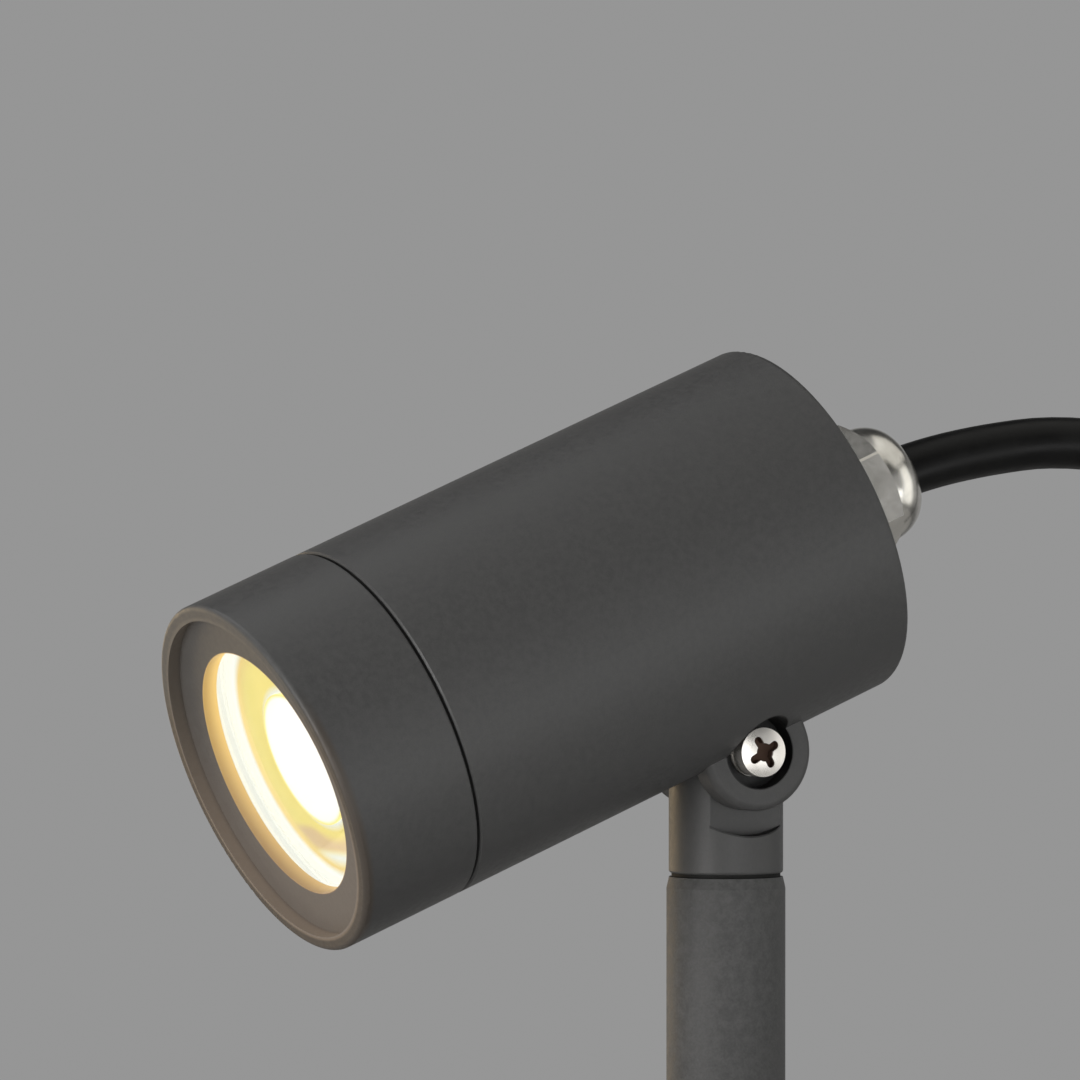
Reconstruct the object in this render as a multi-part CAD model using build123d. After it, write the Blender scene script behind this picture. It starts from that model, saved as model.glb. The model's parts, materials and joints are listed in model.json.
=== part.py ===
from build123d import *
import math
import os

# Landscape spotlight. Millimetres, +Z up, the head faces -Y, the tilt axis runs along X.
# The origin is the middle of the spike collar's underside, at soil level.

# Stand and head position
PIVOT_Z = 133.4  # tilt axis above the soil
TILT = 22.84  # front of the head below level, degrees
HEAD_RISE = 29.2  # head axis above the tilt axis, square to it
PITCH_DOWN = 45.0  # lowest pitch of the head, degrees
PITCH_UP = 60.0  # highest pitch of the head, degrees

# Clearances
RUN_FIT = 0.05  # radial, between pieces that turn in one another
THREAD_FIT = 0.08  # radial, between the screwed front ring and its spigot
SEAT_FIT = 0.05  # radial, between fixed pieces
FACE_FIT = 0.04  # between faces that slide on one another

# Head housing, measured along the head axis from the tilt axis
HEAD_R = 30.0
HEAD_SEAM = -56.2  # shoulder that the ring stops at
HEAD_BACK = 27.6
HEAD_WALL = 4.6
BACK_WALL = 3.0
BACK_ROUND = 1.0
EDGE_BREAK = 0.3
SPIGOT_WALL = 2.1
SPIGOT_LENGTH = 12.7

# Front ring, depths measured back from its front edge
RING_FRONT = -78.1
RING_GAP = 0.5  # dark line between ring and housing
LIP_ROUND = 0.8
LIP_WALL = 2.5
RECESS_UNDERCUT = 0.3  # recess wider than the lip
RECESS_DEPTH = 2.4
APERTURE_R = 20.9
FLANGE_THICK = 2.6
GLASS_EDGE = 1.0  # spigot wider than the glass, radial
GLASS_THICK = 3.0
GASKET_WIDTH = 2.0
FRONT_RING_SECTION = 0.62  # section radius of the O-ring on the spigot
FRONT_RING_SHIFT = 1.6  # O-ring ahead of the shoulder

# Ears and tilt joint
EAR_IN = 7.0
EAR_OUT = 11.88
EAR_R = 9.65
EAR_ROUND = 1.4
EAR_SEAT = 8.5  # screw and nut seats from the middle
COUNTERBORE_R = 6.0
SCREW_R = 2.0
SCREW_HEAD_R = 4.0
SCREW_HEAD_HIGH = 3.5
SCREW_HEAD_DOME = 0.6  # rise of the domed top over its rim
FLAT_WASHER_R = 4.0
FLAT_WASHER_THICK = 0.8
SPRING_WASHER_R = 3.7
SPRING_WASHER_THICK = 1.0
SPRING_WASHER_SPLIT = 0.8
NUT_FLATS = 7.0
NUT_THICK = 3.2
CROSS_WIDTH = 1.4
CROSS_LENGTH = 5.7
CROSS_CORE_R = 1.5
CROSS_DEPTH = 1.8
CROSS_TURN = 9.0  # degrees
SLOT_GAP = 0.36  # around the knuckle in the housing's slot
BOSS_WALL = 2.3

# Knuckle, stem and swivel
KNUCKLE_R = 9.34
TONGUE_HALF = 6.8
TONGUE_END_R = 13.8
PARTING_DROP = 20.4  # middle of the parting line below the tilt axis
PARTING_GAP = 0.6
KNUCKLE_ROUND = 0.5
SPIGOT_R = 7.65
SPIGOT_DEEP = 19.0
STEM_R = 9.72
STEM_TAPER = 0.42
STEM_TAPER_HIGH = 1.8
STEM_LOW_BORE = 8.3
SWIVEL_RING_R = 8.9
SWIVEL_RING_SECTION = 0.7  # section radius of the O-ring on the knuckle's spigot
BUSH_THICK = 6.0
BOLT_R = 3.0
BOLT_HEAD_R = 5.0
BOLT_HEAD_HIGH = 4.0
BOLT_DEEP = 14.0
BOLT_WASHER_R = 6.0
BOLT_WASHER_THICK = 1.2
BOLT_KEY_FLATS = 4.0

# Ground spike
COLLAR_R = 18.0
COLLAR_THICK = 4.0
SOCKET_R = 13.0
SOCKET_HIGH = 18.0
SOCKET_FLOOR = 3.0
SOCKET_ROUND = 1.5
SPIKE_LENGTH = 165.0
FIN_REACH = 16.0
FIN_THICK = 3.0
FIN_TIP = 1.5
GRUB_R = 2.5
GRUB_Z = 11.0
GRUB_KEY_FLATS = 2.5

# Lamp and lampholder, depths back from the ring's front edge
LENS_DEPTH = 10.5
LENS_EDGE = 0.9  # lamp rim around the lens
LENS_THICK = 2.0
LENS_RIM = 0.3
OPTIC_R = 11.4
OPTIC_HIGH = 0.6
LAMP_GAP = 0.5  # between lamp and housing, radial
LAMP_RIM_LONG = 6.0
LAMP_NECK_R = 15.0
LAMP_BASE_R = 14.5
LAMP_BASE_LONG = 5.0
HOLDER_FRONT = -22.0  # along the head axis from the tilt axis
HOLDER_R = 14.0
HOLDER_LONG = 19.0
HOLDER_FACE = 2.5
HOLDER_ROOM_R = 11.0
HOLDER_ROOM_LONG = 11.0
PIN_APART = 10.0
PIN_NECK_R = 1.25
PIN_HEAD_R = 2.45
PIN_HEAD_LONG = 2.0
TWIST = 30.0  # turn that frees the lamp, degrees
PLATE_EDGE = 0.5  # between plate and housing, radial
PLATE_THICK = 1.2
PLATE_GAP = 0.6
LEAD_HOLE_R = 8.0
POST_R = 4.0
POST_X = 18.0
POST_Z = 8.0
SMALL_SCREW_R = 1.5
SMALL_HEAD_R = 2.75
SMALL_HEAD_HIGH = 1.7
SMALL_SCREW_LONG = 9.0
HOLDER_SCREW_X = 10.0
HOLDER_SCREW_Z = -5.0
HOLDER_SCREW_LONG = 5.5

# Terminals and wires inside the head
BLOCK_HALF = 11.0
BLOCK_DEEP = 9.8
BLOCK_LOW = 9.0  # underside above the head axis
BLOCK_HIGH = 12.0
TERMINAL_PITCH = 7.0
TERMINAL_SCREW_R = 1.9
TERMINAL_SCREW_LONG = 3.5
CORE_R = 1.1
CORE_SPREAD = 1.8
CORE_STRIP_Y = 20.0  # end of the cord's jacket
CORE_RISE = 6.0  # live and neutral entries above the block's underside
LEAD_R = 0.9
LEAD_X = 4.0
LEAD_Z = 2.0
LEAD_OUT = 6.0
LEAD_BEND = 4.0
EARTH_X = -15.0
EARTH_Z = -11.0
EARTH_TAG_R = 3.6
EARTH_TAG_THICK = 0.8
EARTH_BARREL_R = 1.8
EARTH_BARREL_LONG = 5.8
EARTH_BARREL_SHIFT = 5.0

# Cable gland, distances behind the housing's back
GLAND_FLATS = 20.0
GLAND_CORNER_R = 11.4  # corners turned down to this
GLAND_BEVEL = 1.5  # radial, at the corners
GLAND_BEVEL_ANGLE = 30.0  # degrees
GLAND_WASHER_R = 11.2
GLAND_WASHER_THICK = 1.0
GLAND_BASE_END = 5.0
GLAND_NUT_START = 5.3
GLAND_HEX_END = 13.3
GLAND_DOME_END = 19.3
GLAND_MOUTH_R = 5.3
GLAND_RIM_R = 5.7
GLAND_THREAD_R = 8.0
GLAND_THREAD_END = 12.0
GLAND_INNER_LONG = 9.0  # thread inside the housing's back face
GLAND_BORE_R = 4.9
GLAND_SEAL_R = 6.6
GLAND_SEAL_START = 7.5
GLAND_SEAL_END = 13.0
GLAND_TURN = 25.0  # turn of the hexagons about the head axis, degrees
LOCKNUT_FLATS = 19.0
LOCKNUT_THICK = 3.0

# Cord
CORD_R = 4.3
CORD_TAIL_END = 9.0  # behind the housing's back, inside the gland nut
LEAD_RUNS = (11.0, 14.0, 18.0, 26.0, 36.0, 44.0, 42.0)
LEAD_SLOPES = (12.5, 5.0, -9.0, -32.0, -60.0, -85.0)  # degrees, after the first run
FLOOR_RUN = 26.0  # each run of the bend on to the ground
FLOOR_TURNS = 3
RUN_SHARE = 0.45  # part of a run that a bend takes
COIL_TURNS = 4
COIL_OUT_R = 53.0
COIL_PITCH = 9.15
COIL_LEFT = 31.0  # coil's middle to the left of the stem
COIL_EXIT = 200.0  # direction in which the cord leaves the coil's middle, degrees
COIL_STEPS = 18
TIE_ANGLE = 340.0
TIE_THICK = 0.9
TIE_WIDE = 9.0
TIE_SLACK = 0.6
TIE_ROUND = 3.0
END_RUNS = (20.0, 20.0, 18.0)

# Plug
PLUG_R = 18.5
PLUG_FACE_LONG = 20.0
PLUG_GRIP_R = 12.0
PLUG_GRIP_LONG = 20.0
PLUG_BOOT_R = 7.5
PLUG_BOOT_LONG = 22.0
PLUG_BOOT_END_R = 6.0
PLUG_RIBS = 4
PLUG_RIB_SHARE = 0.6  # of each rib's pitch up to its crest
PLUG_RIB_DEEP = 0.8
PLUG_ROUND = 1.5
PLUG_PIN_R = 2.4
PLUG_PIN_LONG = 19.0
PLUG_PIN_APART = 19.0
PLUG_PIN_ROOT = 6.0
PLUG_ROOT_R = 3.0
PLUG_CLIP_WIDE = 4.5
PLUG_CLIP_THICK = 1.0
PLUG_CLIP_LONG = 15.0

os.makedirs("parts", exist_ok=True)
HEAD = Pos(0, 0, PIVOT_Z) * Rot(TILT, 0, 0)
AXIS = Pos(0, 0, HEAD_RISE)


def save(shape, node):
    export_step(shape, f"parts/{node}.step")
    print(node, round(shape.volume, 1))


def turned(points):
    """Solid turned about Y from (radius, y) points."""
    return revolve(make_face(Polyline(*points, close=True)), axis=Axis.Y)


def turned_z(points):
    """Solid turned about Z from (radius, z) points."""
    return Rot(90, 0, 0) * turned(points)


def bar_y(radius, start, end):
    """Round bar along Y."""
    return turned([(0, start), (radius, start), (radius, end), (0, end)])


def bar_z(radius, start, end):
    """Round bar along Z."""
    return turned_z([(0, start), (radius, start), (radius, end), (0, end)])


def bar_x(radius, start, end):
    """Round bar along X."""
    return extrude(Plane.YZ.offset(start) * Circle(radius), amount=end - start)


def hex_y(flats, start, end):
    """Hexagonal bar along Y."""
    sketch = RegularPolygon(flats / 2, 6, major_radius=False)
    return Pos(0, start, 0) * Rot(-90, 0, 0) * extrude(sketch, amount=end - start)


def hex_z(flats, start, end):
    """Hexagonal bar along Z."""
    sketch = RegularPolygon(flats / 2, 6, major_radius=False)
    return Pos(0, 0, start) * extrude(sketch, amount=end - start)


def hoop_y(radius, section, place):
    """O-ring about Y."""
    return Pos(0, place, 0) * Rot(90, 0, 0) * Torus(radius, section)


def tube(path, radius):
    """Round tube along a path."""
    section = Plane(origin=path @ 0, z_dir=path % 0) * Circle(radius)
    return sweep(section, path=path)


def bends(points):
    """Bend radius at each inner point: a set share of the shorter run beside it."""
    radii = []
    for before, here, after in zip(points, points[1:], points[2:]):
        run_in = Vector(*here) - Vector(*before)
        run_out = Vector(*after) - Vector(*here)
        half_turn = math.radians(run_in.get_angle(run_out)) / 2
        shorter = min(run_in.length, run_out.length)
        radii.append(RUN_SHARE * shorter / math.tan(half_turn))
    return radii


def slot_sketch(radius):
    """Room of the given half width that the knuckle sweeps in the housing, as Y and Z."""
    reach = 2 * HEAD_R
    up = math.radians(PITCH_UP)
    down = math.radians(PITCH_DOWN)
    back_edge = (radius * math.cos(up), radius * math.sin(up))
    back_end = (back_edge[0] + reach * math.sin(up), back_edge[1] - reach * math.cos(up))
    front_edge = (-radius * math.cos(down), radius * math.sin(down))
    front_end = (front_edge[0] - reach * math.sin(down), front_edge[1] - reach * math.cos(down))
    low = -2 * reach
    outline = Polyline(
        back_edge,
        back_end,
        (back_end[0], low),
        (front_end[0], low),
        front_end,
        front_edge,
        (0, 0),
        close=True,
    )
    return make_face(outline) + Circle(radius)


# Sizes that follow from the driving ones
cavity_r = HEAD_R - HEAD_WALL
cavity_back = HEAD_BACK - BACK_WALL
spigot_front = HEAD_SEAM - SPIGOT_LENGTH
spigot_r = cavity_r + SPIGOT_WALL
lip_in_r = HEAD_R - LIP_WALL
recess_r = lip_in_r + RECESS_UNDERCUT
glass_r = spigot_r - GLASS_EDGE
lamp_r = cavity_r - LAMP_GAP
lens_r = lamp_r - LENS_EDGE
plate_r = cavity_r - PLATE_EDGE
flange_back = RING_FRONT + RECESS_DEPTH + FLANGE_THICK
glass_front = flange_back + FACE_FIT
glass_back = glass_front + GLASS_THICK
ring_back = HEAD_SEAM - RING_GAP
ring_bore = spigot_r + THREAD_FIT
holder_back = HOLDER_FRONT + HOLDER_LONG
plate_back = holder_back + PLATE_THICK
slot_r = KNUCKLE_R + SLOT_GAP
boss_r = slot_r + BOSS_WALL
post_places = [(-POST_X, POST_Z), (POST_X, POST_Z)]
holder_screw_places = [(-HOLDER_SCREW_X, HOLDER_SCREW_Z), (HOLDER_SCREW_X, HOLDER_SCREW_Z)]


def at_places(shape, places):
    """Copies of a shape at (x, z) places about the head axis."""
    return [AXIS * Pos(x, 0, z) * shape for x, z in places]


# Head housing: turned shell with a front spigot, two ears and a closed pocket for the knuckle
shell = bar_y(HEAD_R, HEAD_SEAM, HEAD_BACK)
shell = fillet(shell.edges().filter_by(GeomType.CIRCLE).group_by(Axis.Y)[-1], BACK_ROUND)
shell = chamfer(shell.edges().filter_by(GeomType.CIRCLE).group_by(Axis.Y)[0], EDGE_BREAK)
housing = AXIS * (shell + bar_y(spigot_r, spigot_front, HEAD_SEAM))
ear_sketch = Circle(EAR_R) + Pos(0, EAR_R / 2) * Rectangle(2 * EAR_R, EAR_R)
for side in (-1, 1):
    ear = extrude(Plane.YZ.offset(side * EAR_IN) * ear_sketch, amount=side * (EAR_OUT - EAR_IN))
    outer_face = ear.faces().sort_by(lambda face: side * face.center().X)[-1]
    housing += fillet(outer_face.edges().sort_by(Axis.Z)[:-1], EAR_ROUND)
cavity = AXIS * bar_y(cavity_r, spigot_front, cavity_back)
cavity -= extrude(Plane.YZ * slot_sketch(boss_r), amount=EAR_IN + BOSS_WALL, both=True)
seat_boss_r = COUNTERBORE_R + BOSS_WALL
cavity -= bar_x(seat_boss_r, -EAR_OUT - BOSS_WALL, EAR_OUT + BOSS_WALL)
for post in at_places(bar_y(POST_R, plate_back, cavity_back), post_places):
    cavity -= post
housing -= cavity
housing -= extrude(Plane.YZ * slot_sketch(slot_r), amount=EAR_IN, both=True)
housing -= bar_x(SCREW_R + RUN_FIT, -EAR_OUT, EAR_OUT)
housing -= bar_x(COUNTERBORE_R, EAR_SEAT, EAR_OUT + HEAD_R)
nut_recess = hex_z(NUT_FLATS + 2 * SEAT_FIT, EAR_SEAT, EAR_OUT + HEAD_R)
housing -= Rot(0, -90, 0) * nut_recess
housing -= AXIS * bar_y(GLAND_THREAD_R + SEAT_FIT, cavity_back, HEAD_BACK)
post_bore = bar_y(SMALL_SCREW_R + SEAT_FIT, plate_back, plate_back + SMALL_SCREW_LONG)
for hole in at_places(post_bore, post_places):
    housing -= hole
groove_y = HEAD_SEAM - FRONT_RING_SHIFT
groove_floor = spigot_r - 2 * FRONT_RING_SECTION + FACE_FIT
groove = bar_y(spigot_r + SEAT_FIT, groove_y - FRONT_RING_SECTION, groove_y + FRONT_RING_SECTION)
groove -= bar_y(groove_floor, groove_y - FRONT_RING_SECTION, groove_y + FRONT_RING_SECTION)
housing -= AXIS * groove
save(HEAD * housing, "head_housing")
front_o_ring = hoop_y(groove_floor + FRONT_RING_SECTION, FRONT_RING_SECTION, groove_y)
save(HEAD * AXIS * front_o_ring, "front_o_ring")

# Front ring: lip, recess, aperture flange, glass pocket and screwed bore
pocket_r = glass_r + SEAT_FIT
pocket_back = spigot_front - FACE_FIT * 4
front_ring = turned(
    [
        (HEAD_R, RING_FRONT),
        (HEAD_R, ring_back),
        (ring_bore, ring_back),
        (ring_bore, pocket_back),
        (pocket_r, pocket_back),
        (pocket_r, flange_back),
        (APERTURE_R, flange_back),
        (APERTURE_R, RING_FRONT + RECESS_DEPTH),
        (recess_r, RING_FRONT + RECESS_DEPTH),
        (lip_in_r, RING_FRONT),
    ]
)
rim_edges = front_ring.edges().filter_by(GeomType.CIRCLE).group_by(Axis.Y)[0].sort_by(SortBy.RADIUS)
front_ring = fillet(rim_edges[-1], LIP_ROUND)
back_edges = front_ring.edges().filter_by(GeomType.CIRCLE).group_by(Axis.Y)[-1]
front_ring = chamfer(back_edges.sort_by(SortBy.RADIUS)[-1], EDGE_BREAK)
save(HEAD * AXIS * front_ring, "front_ring")
front_glass = bar_y(glass_r, glass_front, glass_back)
save(HEAD * AXIS * front_glass, "front_glass")
gasket = bar_y(glass_r, glass_back, spigot_front - FACE_FIT)
gasket -= bar_y(glass_r - GASKET_WIDTH, glass_back, spigot_front - FACE_FIT)
save(HEAD * AXIS * gasket, "glass_gasket")

# Lamp: reflector body, lens, bright middle optic and two headed pins
lens_front = RING_FRONT + LENS_DEPTH
lens_back = lens_front + LENS_THICK
lamp_front = lens_front - LENS_RIM
lamp_back = HOLDER_FRONT - FACE_FIT
lamp_body = turned(
    [
        (0, lens_back),
        (lens_r + SEAT_FIT, lens_back),
        (lens_r + SEAT_FIT, lamp_front),
        (lamp_r, lamp_front),
        (lamp_r, lamp_front + LAMP_RIM_LONG),
        (LAMP_NECK_R, lamp_back - LAMP_BASE_LONG),
        (LAMP_BASE_R, lamp_back),
        (0, lamp_back),
    ]
)
save(HEAD * AXIS * lamp_body, "lamp_body")
save(HEAD * AXIS * bar_y(lens_r, lens_front, lens_back), "lamp_lens")
save(HEAD * AXIS * bar_y(OPTIC_R, lens_front - OPTIC_HIGH, lens_front), "lamp_optic")
room_front = HOLDER_FRONT + HOLDER_FACE
pin = bar_y(PIN_NECK_R, lamp_back, room_front + FACE_FIT)
pin += bar_y(PIN_HEAD_R, room_front + FACE_FIT, room_front + FACE_FIT + PIN_HEAD_LONG)
pins = Compound([Pos(side * PIN_APART / 2, 0, 0) * pin for side in (-1, 1)])
save(HEAD * AXIS * pins, "lamp_pins")

# Lampholder with twist slots, on a plate that stands on two posts
holder = bar_y(HOLDER_R, HOLDER_FRONT, holder_back)
holder -= bar_y(HOLDER_ROOM_R, room_front, room_front + HOLDER_ROOM_LONG)
slot_arc = CenterArc((0, 0), PIN_APART / 2, -TWIST, TWIST)
twist_slot = SlotArc(slot_arc, 2 * PIN_NECK_R + 4 * RUN_FIT)
twist_slot += Rot(0, 0, -TWIST) * Pos(PIN_APART / 2, 0) * Circle(PIN_HEAD_R + 2 * RUN_FIT)
for turn in (0, 180):
    cut = extrude(Rot(0, 0, turn) * twist_slot, amount=-HOLDER_FACE)
    holder -= Pos(0, HOLDER_FRONT, 0) * Rot(90, 0, 0) * cut
holder_bore = bar_y(SMALL_SCREW_R + SEAT_FIT, holder_back - HOLDER_SCREW_LONG, holder_back)
for x, z in holder_screw_places:
    holder -= Pos(x, 0, z) * holder_bore
save(HEAD * AXIS * holder, "lampholder")
plate = AXIS * bar_y(plate_r, holder_back, plate_back)
plate -= AXIS * bar_y(LEAD_HOLE_R, holder_back, plate_back)
plate -= extrude(
    Plane.YZ * slot_sketch(boss_r + PLATE_GAP), amount=EAR_IN + BOSS_WALL + PLATE_GAP, both=True
)
seat_reach = EAR_OUT + BOSS_WALL + PLATE_GAP
plate -= bar_x(seat_boss_r + PLATE_GAP, -seat_reach, seat_reach)
screw_bore = bar_y(SMALL_SCREW_R + SEAT_FIT, holder_back, plate_back)
for hole in at_places(screw_bore, post_places + holder_screw_places + [(EARTH_X, EARTH_Z)]):
    plate -= hole
save(HEAD * plate, "lampholder_plate")


def small_screw(long):
    """Pan-head screw along +Y, its head's underside at 0."""
    screw = bar_y(SMALL_HEAD_R, -SMALL_HEAD_HIGH, 0) + bar_y(SMALL_SCREW_R, 0, long)
    slit = Box(2 * SMALL_HEAD_R, SMALL_HEAD_HIGH, CROSS_WIDTH)
    return screw - Pos(0, -SMALL_HEAD_HIGH, 0) * slit


plate_screw = Pos(0, holder_back, 0) * small_screw(SMALL_SCREW_LONG)
plate_screws = Compound(at_places(plate_screw, post_places))
save(HEAD * plate_screws, "plate_screws")
holder_screw = Pos(0, plate_back, 0) * Rot(180, 0, 0) * small_screw(HOLDER_SCREW_LONG)
save(HEAD * Compound(at_places(holder_screw, holder_screw_places)), "lampholder_screws")

# Terminal block, wires and earth tag
block_back = plate_back + BLOCK_DEEP
block = Box(2 * BLOCK_HALF, BLOCK_DEEP, BLOCK_HIGH)
block = Pos(0, plate_back + BLOCK_DEEP / 2, BLOCK_LOW + BLOCK_HIGH / 2) * block
block_top = BLOCK_LOW + BLOCK_HIGH
terminal_screw = bar_z(TERMINAL_SCREW_R, block_top - TERMINAL_SCREW_LONG, block_top - EDGE_BREAK)
slit = Box(2 * TERMINAL_SCREW_R, CROSS_WIDTH, CROSS_WIDTH)
terminal_screw -= Pos(0, 0, block_top - EDGE_BREAK) * slit
terminal_bore = bar_z(TERMINAL_SCREW_R + SEAT_FIT, block_top - TERMINAL_SCREW_LONG, block_top)
terminal_screws = []
for row in (-1, 0, 1):
    place = Pos(row * TERMINAL_PITCH, plate_back + BLOCK_DEEP / 2, 0)
    block -= place * terminal_bore
    terminal_screws.append(AXIS * place * terminal_screw)
save(HEAD * AXIS * block, "terminal_block")
save(HEAD * Compound(terminal_screws), "terminal_screws")


def core_path(start, end):
    """Wire that leaves and arrives along -Y, with one easy bend each way."""
    span = start[1] - end[1]
    first = (start[0], start[1] - span * RUN_SHARE / 2, start[2])
    last = (end[0], end[1] + span * RUN_SHARE / 2, end[2])
    points = [start, first, last, end]
    return FilletPolyline(*points, radius=bends(points))


core_ring = [math.radians(angle) for angle in (150, 30, 270)]
core_starts = [
    (CORE_SPREAD * math.cos(a), CORE_STRIP_Y, CORE_SPREAD * math.sin(a)) for a in core_ring
]
core_high = BLOCK_LOW + CORE_RISE
barrel_x = EARTH_X + EARTH_BARREL_SHIFT
core_ends = [
    (-TERMINAL_PITCH, block_back, core_high),
    (TERMINAL_PITCH, block_back, core_high),
    (barrel_x, plate_back + EARTH_BARREL_LONG, EARTH_Z),
]
for node, start, end in zip(("core_live", "core_neutral", "core_earth"), core_starts, core_ends):
    save(HEAD * AXIS * tube(core_path(start, end), CORE_R), node)
leads = []
for side in (-1, 1):
    x = side * LEAD_X
    turn_y = holder_back + LEAD_OUT
    route = [(x, holder_back, LEAD_Z), (x, turn_y, LEAD_Z), (x, turn_y, BLOCK_LOW)]
    leads.append(AXIS * tube(FilletPolyline(*route, radius=LEAD_BEND), LEAD_R))
save(HEAD * Compound(leads), "lampholder_leads")
tag = bar_y(EARTH_TAG_R, plate_back, plate_back + EARTH_TAG_THICK)
barrel = bar_y(EARTH_BARREL_R, plate_back, plate_back + EARTH_BARREL_LONG)
tag += Pos(EARTH_BARREL_SHIFT, 0, 0) * barrel
tag -= bar_y(SMALL_SCREW_R + SEAT_FIT, plate_back, plate_back + EARTH_TAG_THICK)
save(HEAD * AXIS * Pos(EARTH_X, 0, EARTH_Z) * tag, "earth_tag")
earth_screw = small_screw(EARTH_TAG_THICK + PLATE_THICK)
earth_place = Pos(EARTH_X, plate_back + EARTH_TAG_THICK, EARTH_Z) * Rot(180, 0, 0)
save(HEAD * AXIS * earth_place * earth_screw, "earth_screw")

# Cable gland on the housing's back
GLAND = AXIS * Pos(0, HEAD_BACK, 0) * Rot(0, GLAND_TURN, 0)


def hex_turned(flats, points):
    """Hexagonal piece whose corners are turned to a (radius, y) outline."""
    lengths = [y for _, y in points]
    return hex_y(flats, min(lengths), max(lengths)) & turned(points)


gland_washer = bar_y(GLAND_WASHER_R, 0, GLAND_WASHER_THICK)
gland_washer -= bar_y(GLAND_THREAD_R + SEAT_FIT, 0, GLAND_WASHER_THICK)
save(HEAD * GLAND * gland_washer, "gland_washer")
bevel_r = GLAND_CORNER_R - GLAND_BEVEL
bevel_high = GLAND_BEVEL * math.tan(math.radians(GLAND_BEVEL_ANGLE))
gland_body = hex_turned(
    GLAND_FLATS,
    [
        (0, GLAND_WASHER_THICK),
        (bevel_r, GLAND_WASHER_THICK),
        (GLAND_CORNER_R, GLAND_WASHER_THICK + bevel_high),
        (GLAND_CORNER_R, GLAND_BASE_END - bevel_high),
        (bevel_r, GLAND_BASE_END),
        (0, GLAND_BASE_END),
    ],
)
gland_body += bar_y(GLAND_THREAD_R, -GLAND_INNER_LONG, GLAND_THREAD_END)
gland_body -= bar_y(GLAND_BORE_R, -GLAND_INNER_LONG, GLAND_THREAD_END)
gland_body -= bar_y(GLAND_SEAL_R + SEAT_FIT, GLAND_SEAL_START, GLAND_THREAD_END)
save(HEAD * GLAND * gland_body, "gland_body")
dome_wide = bevel_r - GLAND_RIM_R
dome_high = GLAND_DOME_END - GLAND_HEX_END
dome_arc = EllipticalCenterArc((GLAND_RIM_R, GLAND_HEX_END), dome_wide, dome_high, 0, arc_size=90)
dome_side = Polyline(
    (GLAND_RIM_R, GLAND_DOME_END),
    (0, GLAND_DOME_END),
    (0, GLAND_HEX_END),
    (bevel_r, GLAND_HEX_END),
)
gland_nut = revolve(make_face([dome_arc, dome_side]), axis=Axis.Y) + hex_turned(
    GLAND_FLATS,
    [
        (0, GLAND_NUT_START),
        (bevel_r, GLAND_NUT_START),
        (GLAND_CORNER_R, GLAND_NUT_START + bevel_high),
        (GLAND_CORNER_R, GLAND_HEX_END - bevel_high),
        (bevel_r, GLAND_HEX_END),
        (0, GLAND_HEX_END),
    ],
)
gland_nut -= bar_y(GLAND_THREAD_R + SEAT_FIT, GLAND_NUT_START, GLAND_SEAL_END)
gland_nut -= bar_y(GLAND_MOUTH_R, GLAND_NUT_START, GLAND_DOME_END)
save(HEAD * GLAND * gland_nut, "gland_nut")
gland_seal = bar_y(GLAND_SEAL_R, GLAND_SEAL_START, GLAND_SEAL_END)
gland_seal -= bar_y(CORD_R, GLAND_SEAL_START, GLAND_SEAL_END)
save(HEAD * GLAND * gland_seal, "gland_seal")
locknut = hex_y(LOCKNUT_FLATS, -BACK_WALL - LOCKNUT_THICK, -BACK_WALL)
locknut -= bar_y(GLAND_THREAD_R + SEAT_FIT, -BACK_WALL - LOCKNUT_THICK, -BACK_WALL)
save(HEAD * GLAND * locknut, "gland_locknut")
cord_tail = bar_y(CORD_R, CORE_STRIP_Y, HEAD_BACK + CORD_TAIL_END)
save(HEAD * AXIS * cord_tail, "cord_tail")

# Tilt joint: screw, washers and nut through the ears
washer_end = EAR_SEAT + FLAT_WASHER_THICK
head_seat = washer_end + SPRING_WASHER_THICK
flat_washer = bar_x(FLAT_WASHER_R, EAR_SEAT, washer_end) - bar_x(
    SCREW_R + SEAT_FIT, EAR_SEAT, washer_end
)
save(HEAD * flat_washer, "pivot_flat_washer")
spring_washer = bar_x(SPRING_WASHER_R, washer_end, head_seat) - bar_x(
    SCREW_R + SEAT_FIT, washer_end, head_seat
)
split = Box(2 * SPRING_WASHER_THICK, SPRING_WASHER_SPLIT, SPRING_WASHER_R)
split_place = Pos((washer_end + head_seat) / 2, 0, -SPRING_WASHER_R / 2)
spring_washer -= split_place * split
save(HEAD * spring_washer, "pivot_spring_washer")
head_top = head_seat + SCREW_HEAD_HIGH
dome_ball_r = (SCREW_HEAD_R**2 + SCREW_HEAD_DOME**2) / (2 * SCREW_HEAD_DOME)
half_way = head_top - dome_ball_r + math.sqrt(dome_ball_r**2 - SCREW_HEAD_R**2 / 4)
pan_rim = (SCREW_HEAD_R, head_top - SCREW_HEAD_DOME)
pan_arc = ThreePointArc(pan_rim, (SCREW_HEAD_R / 2, half_way), (0, head_top))
pan_side = Polyline((0, head_top), (0, head_seat), (SCREW_HEAD_R, head_seat), pan_rim)
pan_head = Rot(0, 0, -90) * revolve(make_face([pan_arc, pan_side]), axis=Axis.Y)
cross = Circle(CROSS_CORE_R) + SlotOverall(CROSS_LENGTH, CROSS_WIDTH)
cross += SlotOverall(CROSS_LENGTH, CROSS_WIDTH, 90)
cross_plane = Plane.YZ.offset(head_top - CROSS_DEPTH)
pan_head -= extrude(cross_plane * Rot(0, 0, CROSS_TURN) * cross, amount=2 * CROSS_DEPTH)
pivot_screw = pan_head + bar_x(SCREW_R, -EAR_SEAT - NUT_THICK, head_seat)
save(HEAD * pivot_screw, "pivot_screw")
pivot_nut = hex_z(NUT_FLATS, EAR_SEAT, EAR_SEAT + NUT_THICK)
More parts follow.
